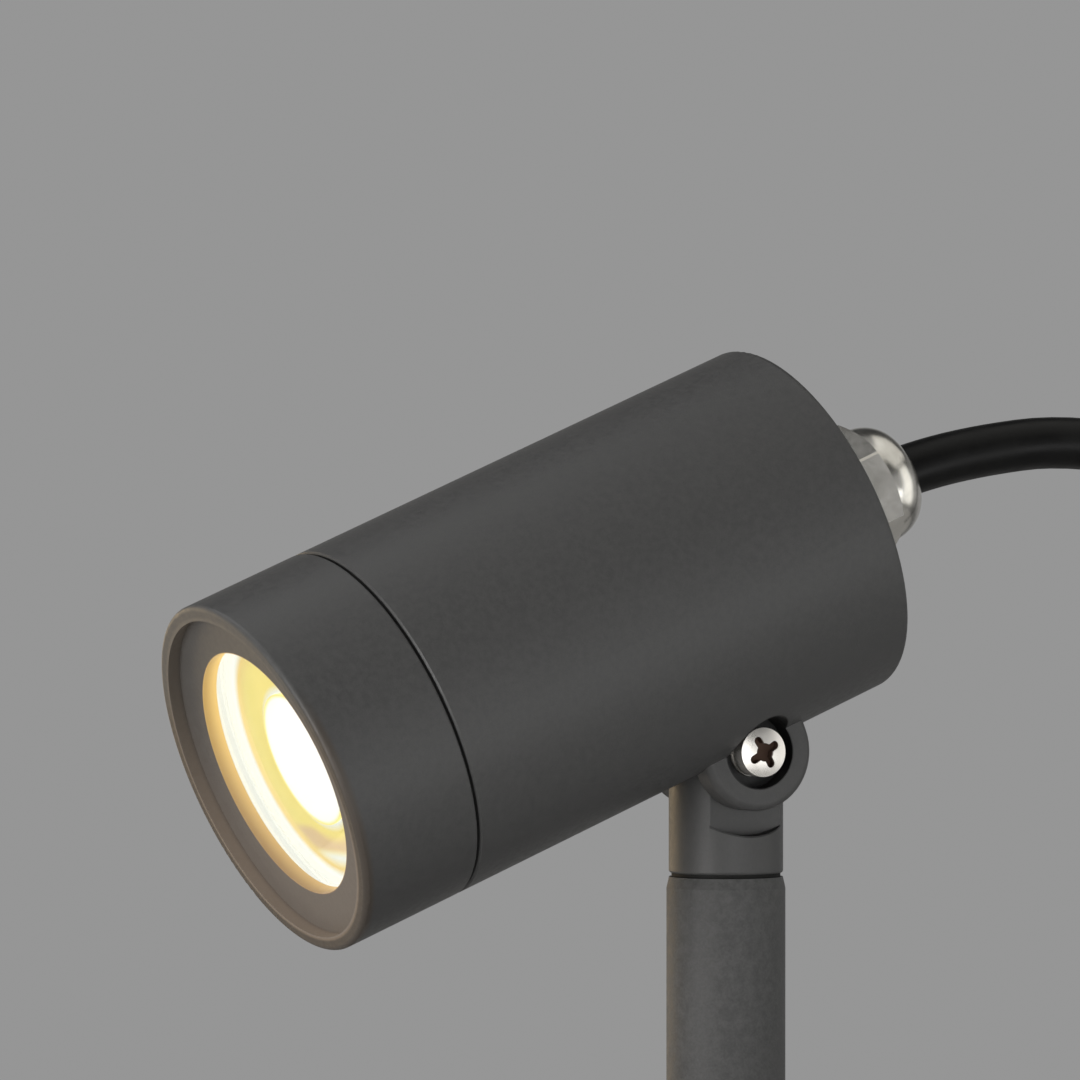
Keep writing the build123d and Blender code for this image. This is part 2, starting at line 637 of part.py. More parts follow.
pivot_nut -= bar_z(SCREW_R + SEAT_FIT, EAR_SEAT, EAR_SEAT + NUT_THICK)
save(HEAD * Rot(0, -90, 0) * pivot_nut, "pivot_nut")

# Knuckle: turned bar with two flats, round top and a spigot that turns in the stem
parting_z = PIVOT_Z - PARTING_DROP
knuckle_foot = parting_z + PARTING_GAP / 2
stem_top = parting_z - PARTING_GAP / 2
column = bar_z(KNUCKLE_R, knuckle_foot, PIVOT_Z + KNUCKLE_R)
foot_edge = column.edges().filter_by(GeomType.CIRCLE).group_by(Axis.Z)[0]
column = fillet(foot_edge, KNUCKLE_ROUND)
round_top = bar_x(KNUCKLE_R, -KNUCKLE_R, KNUCKLE_R)
round_top += Pos(0, 0, -PARTING_DROP / 2) * Box(2 * KNUCKLE_R, 2 * KNUCKLE_R, PARTING_DROP)
knuckle = column & (Pos(0, 0, PIVOT_Z) * round_top)
for side in (-1, 1):
    flat = bar_x(TONGUE_END_R, side * TONGUE_HALF, side * 2 * KNUCKLE_R)
    knuckle -= Pos(0, 0, PIVOT_Z) * flat
knuckle -= Pos(0, 0, PIVOT_Z) * bar_x(SCREW_R + RUN_FIT, -KNUCKLE_R, KNUCKLE_R)
spigot_end = knuckle_foot - SPIGOT_DEEP
knuckle += bar_z(SPIGOT_R, spigot_end, knuckle_foot)
ring_z = (spigot_end + knuckle_foot) / 2
swivel_floor = SPIGOT_R - 2 * SWIVEL_RING_SECTION + FACE_FIT
swivel_groove = bar_z(SPIGOT_R, ring_z - SWIVEL_RING_SECTION, ring_z + SWIVEL_RING_SECTION)
swivel_groove -= bar_z(swivel_floor, ring_z - SWIVEL_RING_SECTION, ring_z + SWIVEL_RING_SECTION)
knuckle -= swivel_groove
knuckle -= bar_z(BOLT_R + SEAT_FIT, spigot_end, spigot_end + BOLT_DEEP)
save(knuckle, "knuckle")
o_ring = Pos(0, 0, ring_z) * Torus(swivel_floor + SWIVEL_RING_SECTION, SWIVEL_RING_SECTION)
save(o_ring, "knuckle_o_ring")
swivel_ring = bar_z(SWIVEL_RING_R, stem_top + FACE_FIT, knuckle_foot)
swivel_ring -= bar_z(SPIGOT_R + RUN_FIT, stem_top + FACE_FIT, knuckle_foot)
save(swivel_ring, "swivel_ring")

# Stem: tube with a narrow upper bore, a bush under it and the swivel bolt from below
bush_top = spigot_end - 2 * PARTING_GAP
bush_foot = bush_top - BUSH_THICK
stem = turned_z(
    [
        (SPIGOT_R + RUN_FIT, stem_top),
        (STEM_R - STEM_TAPER, stem_top),
        (STEM_R, stem_top - STEM_TAPER_HIGH),
        (STEM_R, SOCKET_FLOOR),
        (STEM_LOW_BORE, SOCKET_FLOOR),
        (STEM_LOW_BORE, bush_top),
        (SPIGOT_R + RUN_FIT, bush_top),
    ]
)
save(stem, "stem")
bush = bar_z(STEM_LOW_BORE - SEAT_FIT, bush_foot, bush_top)
bush -= bar_z(BOLT_R + RUN_FIT, bush_foot, bush_top)
save(bush, "stem_bush")
bolt_seat = bush_foot - BOLT_WASHER_THICK
swivel_washer = bar_z(BOLT_WASHER_R, bolt_seat, bush_foot - FACE_FIT)
swivel_washer -= bar_z(BOLT_R + SEAT_FIT, bolt_seat, bush_foot - FACE_FIT)
save(swivel_washer, "swivel_washer")
bolt = bar_z(BOLT_HEAD_R, bolt_seat - BOLT_HEAD_HIGH, bolt_seat)
bolt += bar_z(BOLT_R, bolt_seat, spigot_end + BOLT_DEEP)
bolt -= hex_z(BOLT_KEY_FLATS, bolt_seat - BOLT_HEAD_HIGH, bolt_seat - BOLT_HEAD_HIGH / 3)
save(bolt, "swivel_bolt")

# Ground spike: collar, socket for the stem and four tapered fins
spike = bar_z(COLLAR_R, 0, COLLAR_THICK) + bar_z(SOCKET_R, COLLAR_THICK, SOCKET_HIGH)
spike_edges = spike.edges().filter_by(GeomType.CIRCLE).group_by(Axis.Z)
spike = fillet(spike_edges[1] + spike_edges[-1], SOCKET_ROUND)
spike -= bar_z(STEM_R + SEAT_FIT, SOCKET_FLOOR, SOCKET_HIGH)
fin_outline = Polyline(
    (-FIN_REACH, 0),
    (FIN_REACH, 0),
    (FIN_TIP, -SPIKE_LENGTH),
    (-FIN_TIP, -SPIKE_LENGTH),
    close=True,
)
fin = extrude(Plane.XZ * make_face(fin_outline), amount=FIN_THICK / 2, both=True)
spike += fin
spike += Rot(0, 0, 90) * fin
grub_bore = bar_x(GRUB_R + SEAT_FIT, -SOCKET_R, -STEM_R)
spike -= Pos(0, 0, GRUB_Z) * grub_bore
save(spike, "ground_spike")
grub = bar_x(GRUB_R, -SOCKET_R, -STEM_R)
grub_key = Rot(0, 90, 0) * hex_z(GRUB_KEY_FLATS, -SOCKET_R, -SOCKET_R + GRUB_R / 2)
grub -= grub_key
save(Pos(0, 0, GRUB_Z) * grub, "stem_grub_screw")

# Cord from the gland: back and over, then down on to the ground beside the coil
tilt = math.radians(TILT)
tail_y = HEAD_BACK + CORD_TAIL_END
lead_y = tail_y * math.cos(tilt) - HEAD_RISE * math.sin(tilt)
lead_z = PIVOT_Z + tail_y * math.sin(tilt) + HEAD_RISE * math.cos(tilt)
lead_points = [(0, lead_y, lead_z)]
for run, slope in zip(LEAD_RUNS, (TILT,) + LEAD_SLOPES):
    lead_y += run * math.cos(math.radians(slope))
    lead_z += run * math.sin(math.radians(slope))
    lead_points.append((0, lead_y, lead_z))
ground_z = CORD_R + TIE_THICK
floor_steps = [math.radians(90 * (step + 1) / FLOOR_TURNS) for step in range(FLOOR_TURNS)]
bend_drop = FLOOR_RUN * sum(math.cos(angle) for angle in floor_steps)
bend_reach = FLOOR_RUN * sum(math.sin(angle) for angle in floor_steps)
lead_points.append((0, lead_y, ground_z + bend_drop))
to_foot = math.hypot(COIL_OUT_R, bend_reach)
coil_x = -COIL_LEFT
coil_y = lead_y - math.sqrt(to_foot**2 - COIL_LEFT**2)
start_angle = math.atan2(lead_y - coil_y, COIL_LEFT) + math.atan2(bend_reach, COIL_OUT_R)
heading = (-math.sin(start_angle), math.cos(start_angle))
reach = 0
drop = bend_drop
for angle in floor_steps:
    reach += FLOOR_RUN * math.sin(angle)
    drop -= FLOOR_RUN * math.cos(angle)
    lead_points.append((heading[0] * reach, lead_y + heading[1] * reach, ground_z + drop))
lead_bends = bends(lead_points)
lead_path = FilletPolyline(*lead_points, radius=lead_bends)
cord_lead = tube(lead_path, CORD_R)
save(cord_lead, "cord_lead")
print("lead bends", [round(radius, 1) for radius in lead_bends])
section = math.pi * CORD_R**2
print("lead length", round(lead_path.length, 1), round(cord_lead.volume / section, 1))

# Coil: in on the lower layer, up a layer in the half turn where it reverses, out on the upper
exit_angle = math.radians(COIL_EXIT)
coil_angle = exit_angle - start_angle + 2 * math.pi * COIL_TURNS
reverse = coil_angle / 2


def coil_point(angle):
    """Place and direction of the coiled cord, an angle on from the coil's start."""
    turned_in = reverse - abs(angle - reverse)
    radius = COIL_OUT_R - COIL_PITCH * turned_in / (2 * math.pi)
    climb = min(max((angle - reverse) / math.pi + 0.5, 0), 1)
    height = ground_z + COIL_PITCH * climb * climb * (3 - 2 * climb)
    rise = 6 * COIL_PITCH * climb * (1 - climb) / math.pi
    at_end = angle <= 0 or angle >= coil_angle or abs(angle - reverse) < reverse / COIL_STEPS
    rate = 0 if at_end else COIL_PITCH / (2 * math.pi)
    rate = -rate if angle < reverse else rate
    way = start_angle + angle
    across = Vector(math.cos(way), math.sin(way), 0)
    ahead = Vector(-math.sin(way), math.cos(way), 0)
    place = Vector(coil_x, coil_y, height) + across * radius
    direction = ahead * radius + across * rate + Vector(0, 0, rise)
    return place, direction.normalized()


def two_arcs(start, start_way, end, end_way):
    """Two arcs that leave and arrive along the given directions and meet smoothly."""
    gap = end - start
    ways = start_way + end_way
    spread = 2 * (1 - start_way.dot(end_way))
    along = gap.dot(ways)
    reach = (math.sqrt(along**2 + spread * gap.dot(gap)) - along) / spread
    first = start + start_way * reach
    last = end - end_way * reach
    middle = (first + last) * 0.5
    return [
        TangentArc(start, middle, tangent=start_way),
        TangentArc(middle, end, tangent=last - first),
    ]


coil_marks = [coil_point(coil_angle * step / COIL_STEPS) for step in range(COIL_STEPS + 1)]
coil_edges = []
for (start, start_way), (end, end_way) in zip(coil_marks, coil_marks[1:]):
    coil_edges += two_arcs(start, start_way, end, end_way)

# Run from the coil to the plug, which lies on the ground
leave, leave_way = coil_marks[-1]
plug_z = PLUG_R
end_one = leave + leave_way * END_RUNS[0]
end_slope = (plug_z - leave.Z) / END_RUNS[1]
end_level = math.sqrt(1 - end_slope**2)
half_turn = math.atan2(leave_way.X, -leave_way.Y) / 2
level_way = Vector(math.sin(half_turn), -math.cos(half_turn), 0)
end_two = end_one + (level_way * end_level + Vector(0, 0, end_slope)) * END_RUNS[1]
end_three = end_two + Vector(0, -1, 0) * END_RUNS[2]
end_points = [tuple(point) for point in (leave, end_one, end_two, end_three)]
end_bends = bends(end_points)
end_path = FilletPolyline(*end_points, radius=end_bends)
coil_path = Wire(coil_edges + end_path.edges())
cord_coil = tube(coil_path, CORD_R)
save(cord_coil, "cord_coil")
print("end bends", [round(radius, 1) for radius in end_bends])
print("coil length", round(coil_path.length, 1), round(cord_coil.volume / section, 1))
coil_spots = [coil_point(coil_angle * step / 720)[0] for step in range(721)]
least = 2 * COIL_OUT_R
for index, spot in enumerate(coil_spots):
    for other in coil_spots[index + 60 :]:
        least = min(least, (spot - other).length)
print("coil gap", round(least - 2 * CORD_R, 2))

# Tie around the coil
tie_turn = (math.radians(TIE_ANGLE) - start_angle) % (2 * math.pi)
tie_out = COIL_OUT_R - COIL_PITCH * tie_turn / (2 * math.pi) + CORD_R + TIE_SLACK
tie_in = tie_out - COIL_PITCH - 2 * (CORD_R + TIE_SLACK)
tie_high = COIL_PITCH + 2 * CORD_R
tie_room = RectangleRounded(tie_out - tie_in, tie_high, TIE_ROUND)
tie_band = RectangleRounded(
    tie_out - tie_in + 2 * TIE_THICK, tie_high + 2 * TIE_THICK, TIE_ROUND + TIE_THICK
)
tie = extrude(Plane.XZ * (tie_band - tie_room), amount=TIE_WIDE / 2, both=True)
tie = Pos((tie_in + tie_out) / 2, 0, ground_z + COIL_PITCH / 2) * tie
save(Pos(coil_x, coil_y, 0) * Rot(0, 0, TIE_ANGLE) * tie, "cord_tie")

# Plug: moulded body with a ribbed boot, two round pins and two side clips
PLUG = Pos(end_three.X, end_three.Y, plug_z) * Rot(0, 0, 180)
boot_end = PLUG_BOOT_LONG
grip_end = boot_end + PLUG_GRIP_LONG
plug_face = grip_end + PLUG_FACE_LONG
rib_pitch = PLUG_BOOT_LONG / (PLUG_RIBS + 1)
plug_outline = [(0, 0), (PLUG_BOOT_END_R, 0)]
for rib in range(PLUG_RIBS):
    rib_y = rib_pitch * (rib + PLUG_RIB_SHARE)
    rib_r = PLUG_BOOT_END_R + (PLUG_BOOT_R - PLUG_BOOT_END_R) * rib_y / PLUG_BOOT_LONG
    plug_outline += [
        (rib_r, rib_y),
        (rib_r - PLUG_RIB_DEEP, rib_y),
        (rib_r - PLUG_RIB_DEEP, rib_y + rib_pitch * (1 - PLUG_RIB_SHARE)),
        (rib_r, rib_y + rib_pitch * (1 - PLUG_RIB_SHARE)),
    ]
plug_outline += [
    (PLUG_BOOT_R, boot_end),
    (PLUG_GRIP_R, boot_end + PLUG_GRIP_LONG / 4),
    (PLUG_GRIP_R, grip_end - PLUG_GRIP_LONG / 4),
    (PLUG_R, grip_end),
    (PLUG_R, plug_face),
    (0, plug_face),
]
plug_body = turned(plug_outline)
face_edge = plug_body.edges().filter_by(GeomType.CIRCLE).group_by(Axis.Y)[-1]
plug_body = fillet(face_edge, PLUG_ROUND)
plug_pin = bar_y(PLUG_PIN_R, plug_face, plug_face + PLUG_PIN_LONG)
pin_tip = plug_pin.edges().filter_by(GeomType.CIRCLE).group_by(Axis.Y)[-1]
plug_pin = fillet(pin_tip, PLUG_PIN_R * 0.8)
plug_pin += bar_y(PLUG_ROOT_R, plug_face - PLUG_PIN_ROOT, plug_face)
pin_bore = bar_y(PLUG_ROOT_R + SEAT_FIT, plug_face - PLUG_PIN_ROOT, plug_face)
clip_room = Box(PLUG_CLIP_WIDE + 2 * SEAT_FIT, PLUG_CLIP_LONG, 2 * PLUG_CLIP_THICK)
clip = Box(PLUG_CLIP_WIDE, PLUG_CLIP_LONG, PLUG_CLIP_THICK)
clip_y = plug_face - PLUG_CLIP_LONG / 2
plug_pins = []
plug_clips = []
for side in (-1, 1):
    pin_place = Pos(side * PLUG_PIN_APART / 2, 0, 0)
    plug_body -= pin_place * pin_bore
    plug_pins.append(pin_place * plug_pin)
    plug_body -= Pos(0, clip_y, side * PLUG_R) * clip_room
    clip_z = PLUG_R - PLUG_CLIP_THICK / 2
    plug_clips.append(Pos(0, clip_y, side * clip_z) * clip)
save(PLUG * plug_body, "plug_body")
save(PLUG * Compound(plug_pins), "plug_pins")
save(PLUG * Compound(plug_clips), "plug_clips")
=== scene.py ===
# %% [markdown]
# # A landscape spotlight
# A tubular head with a lit reflector lamp tilts on a round knuckle between its two ears, and
# the knuckle turns on a stem. The stem stands on a ground spike, and a black rubber cord leaves
# the head through a nickel gland. The solid model comes in as a fixed frame in metres, with +Z
# up and the head facing -Y. This lesson dresses it: camera first, then the cord, then the light
# of the room, then one finish after another.

# %% Load the frame
import json
import math
import bpy
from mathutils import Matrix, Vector


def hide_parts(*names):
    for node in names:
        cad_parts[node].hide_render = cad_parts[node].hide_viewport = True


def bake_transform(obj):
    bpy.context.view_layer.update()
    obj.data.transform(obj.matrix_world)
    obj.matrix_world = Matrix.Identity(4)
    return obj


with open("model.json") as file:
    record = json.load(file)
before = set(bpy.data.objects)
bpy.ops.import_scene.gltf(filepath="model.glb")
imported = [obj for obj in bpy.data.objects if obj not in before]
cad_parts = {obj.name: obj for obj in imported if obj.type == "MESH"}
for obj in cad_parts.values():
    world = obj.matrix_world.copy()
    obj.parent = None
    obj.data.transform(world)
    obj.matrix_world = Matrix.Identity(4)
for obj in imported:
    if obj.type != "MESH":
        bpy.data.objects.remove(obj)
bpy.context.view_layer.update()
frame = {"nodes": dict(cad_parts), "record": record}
scene = bpy.context.scene
scene.view_settings.view_transform = "Standard"
nodes = frame["nodes"]

# %% [markdown]
# ## The head's own directions
# Most of the light is turned about the head's axis, so a few vectors describe it: the tilt
# axis runs along X through the pivot, and the head's axis lies above it, tipped forward. The
# pivot and the forward direction are read from the joints rather than typed in again.

# %% Directions of the head
joints = {joint["name"]: joint for joint in frame["record"]["behaviour"]["joints"]}
pivot = Vector(joints["head_tilt"]["pos_m"])
head_mid = Vector(joints["ring_turn"]["pos_m"])
head_out = Vector(joints["ring_turn"]["axis"]).normalized()
head_up = head_out.cross(Vector((1, 0, 0))).normalized()
tilt = math.asin(-head_out.z)
RING_FRONT = 0.0781  # ring's front edge ahead of the pivot's station
HEAD_BACK = 0.0276  # housing's back behind it
front_mid = head_mid + head_out * RING_FRONT
back_mid = head_mid - head_out * HEAD_BACK
print("head tipped", round(math.degrees(tilt), 2), "degrees")

# %% [markdown]
# ## Camera
# The picture is taken from the right and just above level with a long lens. A camera could be
# dragged by hand until it looks right. Here it is placed from its direction and distance to
# the pivot, so each number can be adjusted alone until the main outlines match the real view.

# %% Camera
VIEW_TURN = math.radians(62.484)
VIEW_RISE = math.radians(2.189)
VIEW_FAR = 1.4494
FRAME_RIGHT = -0.03039  # picture's middle from the pivot, along the picture
FRAME_UP = 0.03420
to_camera = Vector((
    math.sin(VIEW_TURN) * math.cos(VIEW_RISE),
    -math.cos(VIEW_TURN) * math.cos(VIEW_RISE),
    math.sin(VIEW_RISE),
))
picture_right = Vector((math.cos(VIEW_TURN), math.sin(VIEW_TURN), 0))
picture_up = to_camera.cross(picture_right)
camera_data = bpy.data.cameras.new("camera")
camera_data.sensor_width = 36
camera_data.lens = 295.8
camera_data.clip_end = 50
camera = bpy.data.objects.new("camera", camera_data)
scene.collection.objects.link(camera)
camera.location = pivot + to_camera * VIEW_FAR
aim = pivot + picture_right * FRAME_RIGHT + picture_up * FRAME_UP
camera.rotation_euler = (aim - camera.location).to_track_quat("-Z", "Y").to_euler()
scene.camera = camera
print("camera at", tuple(round(v, 3) for v in camera.location))

# %% [markdown]
# ## Cord
# Three-core rubber cord leaves the gland, curves over and hangs down to the ground, where the
# rest of its metre and a half is wound into a neat coil that ends at the plug. It could be a
# bevelled curve. A tube mesh around the points of one smooth NURBS spline is used instead. The
# cord runs nearly straight down from the gland and ends above the coil, which lies on the ground.

# %% Cord route
TAIL_IN = 0.020  # cord's inner end, behind the pivot's station
MOUTH_OUT = 0.009  # gland's mouth, behind the housing's back
MOUTH_LEAD = 0.004  # straight bit just inside the mouth
CORD_RUNS = (0.011, 0.014, 0.018, 0.026, 0.036, 0.044, 0.042)
CORD_SLOPES = (13.2, 6.6, -9.0, -32.5, -60.5, -85.5)  # degrees, after a first run along the head
FLOOR_RUN = 0.026
GROUND_Z = 0.0052

mouth = back_mid - head_out * MOUTH_OUT
route = [head_mid - head_out * TAIL_IN, mouth + head_out * MOUTH_LEAD, mouth]
spot = mouth.copy()
for run, slope in zip(CORD_RUNS, (math.degrees(tilt),) + CORD_SLOPES):
    slope = math.radians(slope)
    spot = spot + Vector((0, math.cos(slope), math.sin(slope))) * run
    route.append(spot)
floor_angles = [math.radians(30 * step) for step in (1, 2, 3)]
bend_reach = FLOOR_RUN * sum(math.sin(angle) for angle in floor_angles)
bend_drop = FLOOR_RUN * sum(math.cos(angle) for angle in floor_angles)
foot = Vector((0, spot.y, GROUND_Z + bend_drop))
route.append(foot)
print("cord route:", len(route), "points down to", tuple(round(v, 3) for v in foot))

# %% Bend on to the floor
COIL_OUT_R = 0.053
COIL_LEFT = 0.031
coil_back = math.sqrt(COIL_OUT_R**2 + bend_reach**2 - COIL_LEFT**2)
coil_mid = Vector((-COIL_LEFT, foot.y - coil_back, 0))
coil_start = math.atan2(foot.y - coil_mid.y, COIL_LEFT) + math.atan2(bend_reach, COIL_OUT_R)
floor_way = Vector((-math.sin(coil_start), math.cos(coil_start), 0))
spot = foot
for angle in floor_angles:
    drop = Vector((0, 0, FLOOR_RUN * math.cos(angle)))
    spot = spot + floor_way * FLOOR_RUN * math.sin(angle) - drop
    route.append(spot)
print("coil about", tuple(round(v, 3) for v in coil_mid))

# %% Coil
COIL_TURNS = 4
COIL_PITCH = 0.00915
COIL_EXIT = math.radians(200)
COIL_POINTS = 24  # to a turn
coil_turn = COIL_EXIT - coil_start + COIL_TURNS * 2 * math.pi
half_way = coil_turn / 2
steps = round(coil_turn / (2 * math.pi) * COIL_POINTS)
for step in range(1, steps + 1):
    angle = coil_turn * step / steps
    radius = COIL_OUT_R - COIL_PITCH * (half_way - abs(angle - half_way)) / (2 * math.pi)
    climb = min(max((angle - half_way) / math.pi + 0.5, 0), 1)
    height = GROUND_Z + COIL_PITCH * climb * climb * (3 - 2 * climb)
    way = coil_start + angle
    route.append(coil_mid + Vector((radius * math.cos(way), radius * math.sin(way), height)))
print("coil:", steps, "points on", round(coil_turn / (2 * math.pi), 2), "turns")

# %% Run to the plug
PLUG_RUNS = (0.020, 0.020, 0.018)
PLUG_Z = 0.0185
leave = route[-1]
leave_way = Vector((-math.sin(COIL_EXIT), math.cos(COIL_EXIT), 0))
route.append(leave + leave_way * PLUG_RUNS[0])
lift = (PLUG_Z - leave.z) / PLUG_RUNS[1]
half_turn = math.atan2(leave_way.x, -leave_way.y) / 2
level = Vector((math.sin(half_turn), -math.cos(half_turn), 0)) * math.sqrt(1 - lift**2)
route.append(route[-1] + (level + Vector((0, 0, lift))) * PLUG_RUNS[1])
route.append(route[-1] + Vector((0, -PLUG_RUNS[2], 0)))
print("whole route:", len(route), "points, plug end at", tuple(round(v, 3) for v in route[-1]))


# %% Spline points
def spline_points(points, name):
    """Points along one smooth NURBS spline with the given control points."""
    curve = bpy.data.curves.new(name, "CURVE")
    curve.dimensions = "3D"
    curve.resolution_u = 6
    spline = curve.splines.new("NURBS")
    spline.points.add(len(points) - 1)
    for place, point in zip(spline.points, points):
        place.co = (point.x, point.y, point.z, 1)
    spline.order_u = 3
    spline.use_endpoint_u = True
    holder = bpy.data.objects.new(name, curve)
    mesh = bpy.data.meshes.new_from_object(holder)
    line = [vertex.co.copy() for vertex in mesh.vertices]
    bpy.data.objects.remove(holder)
    bpy.data.meshes.remove(mesh)
    return line


cord_line = spline_points(route, "cord_route")


# %% Tube mesh
def tube_mesh(line, radius, sides, name):
    """Closed round tube around a line of points."""
    rings = []
    ahead = (line[1] - line[0]).normalized()
    across = ahead.orthogonal().normalized()
    for index, point in enumerate(line):
        before = line[max(index - 1, 0)]
        after = line[min(index + 1, len(line) - 1)]
        ahead = (after - before).normalized()
        across = (across - ahead * across.dot(ahead)).normalized()
        over = ahead.cross(across)
        ring = []
        for side in range(sides):
            angle = 2 * math.pi * side / sides
            ring.append(point + (across * math.cos(angle) + over * math.sin(angle)) * radius)
        rings.append(ring)
    verts = [tuple(vert) for ring in rings for vert in ring]
    faces = []
    for index in range(len(rings) - 1):
        for side in range(sides):
            here = index * sides + side
            beside = index * sides + (side + 1) % sides
            faces.append((here, beside, beside + sides, here + sides))
    faces.append(tuple(reversed(range(sides))))
    faces.append(tuple(range(len(verts) - sides, len(verts))))
    mesh = bpy.data.meshes.new(name)
    mesh.from_pydata(verts, [], faces)
    for polygon in mesh.polygons:
        polygon.use_smooth = len(polygon.vertices) == 4
    return mesh


CORD_R = 0.0043
CORD_SIDES = 28
cord = bpy.data.objects.new("cord", tube_mesh(cord_line, CORD_R, CORD_SIDES, "cord"))
scene.collection.objects.link(cord)
print("cord tube:", len(cord.data.polygons), "faces")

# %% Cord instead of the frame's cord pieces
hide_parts("cord_tail", "cord_lead", "cord_coil")
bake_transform(cord)

# %% [markdown]
# ## Floor, background and light
# The real light stands in front of a plain grey wall. A large modelled backdrop would block
# the other views, so the world itself stands for the room. The camera sees the wall's grey all
# round. Shiny pieces and the glass see that grey at eye level, a darker floor below it and above
# it a dark ceiling that is paler straight overhead, as in a real room. The rest gets a dim fill
# that is stronger from behind. The floor is a small pale disc that takes the shadow. Wide area
# lamps stand for softboxes, and a warm one stands for the lamp's own light that comes back from
# what it lights.

# %% Floor
FLOOR_R = 0.36
FLOOR_SIDES = 96
FLOOR_GREY = 0.42
floor_mesh = bpy.data.meshes.new("floor")
floor_rim = []
for step in range(FLOOR_SIDES):
    way = 2 * math.pi * step / FLOOR_SIDES
    floor_rim.append((FLOOR_R * math.cos(way), FLOOR_R * math.sin(way), 0))
floor_mesh.from_pydata(floor_rim, [], [tuple(range(FLOOR_SIDES))])
floor = bpy.data.objects.new("floor", floor_mesh)
scene.collection.objects.link(floor)
floor_paint = bpy.data.materials.new("floor_paint")
floor_paint.use_nodes = True
floor_shader = floor_paint.node_tree.nodes["Principled BSDF"]
floor_shader.inputs["Base Color"].default_value = (FLOOR_GREY, FLOOR_GREY, FLOOR_GREY, 1)
floor_shader.inputs["Roughness"].default_value = 0.9
floor_mesh.materials.append(floor_paint)
print("floor disc", 2 * FLOOR_R, "m across")


# %% Node helpers
def add(tree, kind, links=None, values=None, **settings):
    """New node with its settings, fixed inputs and links from other sockets."""
    node = tree.nodes.new(kind)
    for label, value in settings.items():
        setattr(node, label, value)
    for label, value in (values or {}).items():
        node.inputs[label].default_value = value
    for label, socket in (links or {}).items():
        tree.links.new(socket, node.inputs[label])
    return node


def dot(tree, vector, direction):
    """Length of a vector socket along a direction."""
    node = add(tree, "ShaderNodeVectorMath", {0: vector}, {1: tuple(direction)},
               operation="DOT_PRODUCT")
    return node.outputs["Value"]


def ramp(tree, value, stops):
    """Colours along a value, from (place, colour) stops."""
    node = add(tree, "ShaderNodeValToRGB", {"Fac": value})
    elements = node.color_ramp.elements
    while len(elements) < len(stops):
        elements.new(0.5)
    for element, (position, colour) in zip(elements, stops):
        element.position = position
        element.color = (*colour, 1)
    return node.outputs["Color"]


print("helpers for nodes, dot products and colour ramps")


# %% World
WALL_GREY = 0.304
ROOM_GREYS = (  # height of a direction, from -1 straight down to 1 straight up, and its grey
    (-0.40, 0.10),
    (-0.15, WALL_GREY),
    (0.25, WALL_GREY),
    (0.50, 0.04),
    (0.88, 0.04),
    (0.95, 0.26),
)
FILL_GREYS = ((0.1, 0.12), (0.9, 0.75))  # the same along the view, from the camera to the wall
UP = Vector((0, 0, 1))
world = bpy.data.worlds.new("studio")
scene.world = world
world.use_nodes = True
tree = world.node_tree
tree.nodes.clear()
toward = tree.nodes.new("ShaderNodeTexCoord").outputs["Generated"]


def sky(name, direction, greys):
    """Background whose grey follows how far it lies along a direction."""
    half = add(tree, "ShaderNodeMapRange", {"Value": dot(tree, toward, direction)},
               {"From Min": -1})
    stops = [((share + 1) / 2, (grey, grey, grey)) for share, grey in greys]
    colour = ramp(tree, half.outputs[0], stops)
    return add(tree, "ShaderNodeBackground", {"Color": colour}, name=name)


fill = sky("fill", -to_camera, FILL_GREYS)
room = sky("room", UP, ROOM_GREYS)
wall = sky("wall", UP, ((-1, WALL_GREY), (1, WALL_GREY)))
print("world greys:", fill.name, room.name, wall.name)

# %% World seen by each kind of ray
SEEN = (("Is Transmission Ray", room), ("Is Glossy Ray", room), ("Is Camera Ray", wall))
ray = tree.nodes.new("ShaderNodeLightPath")
shown = fill
for kind, seen in SEEN:
    links = {"Fac": ray.outputs[kind], 1: shown.outputs[0], 2: seen.outputs[0]}
    shown = add(tree, "ShaderNodeMixShader", links)
add(tree, "ShaderNodeOutputWorld", {"Surface": shown.outputs[0]})
print("world:", len(tree.nodes), "nodes")


# %% Softboxes
def softbox(name, turn, rise, far, size, level, colour=(1, 1, 1)):
    """Area lamp aimed at the pivot, placed in degrees from the front and above level.

    Level 1 shows a facing colour about as it is written.
    """
    turn, rise = math.radians(turn), math.radians(rise)
    away = Vector((
        math.sin(turn) * math.cos(rise),
        -math.cos(turn) * math.cos(rise),
        math.sin(rise),
    ))
    lamp = bpy.data.lights.new(name, "AREA")
    lamp.shape = "RECTANGLE"
    lamp.size, lamp.size_y = size
    lamp.energy = level * (math.pi * far) ** 2
    lamp.color = colour
    box = bpy.data.objects.new(name, lamp)
    scene.collection.objects.link(box)
    box.location = pivot + away * far
    box.rotation_euler = (-away).to_track_quat("-Z", "Y").to_euler()
    box.visible_camera = False


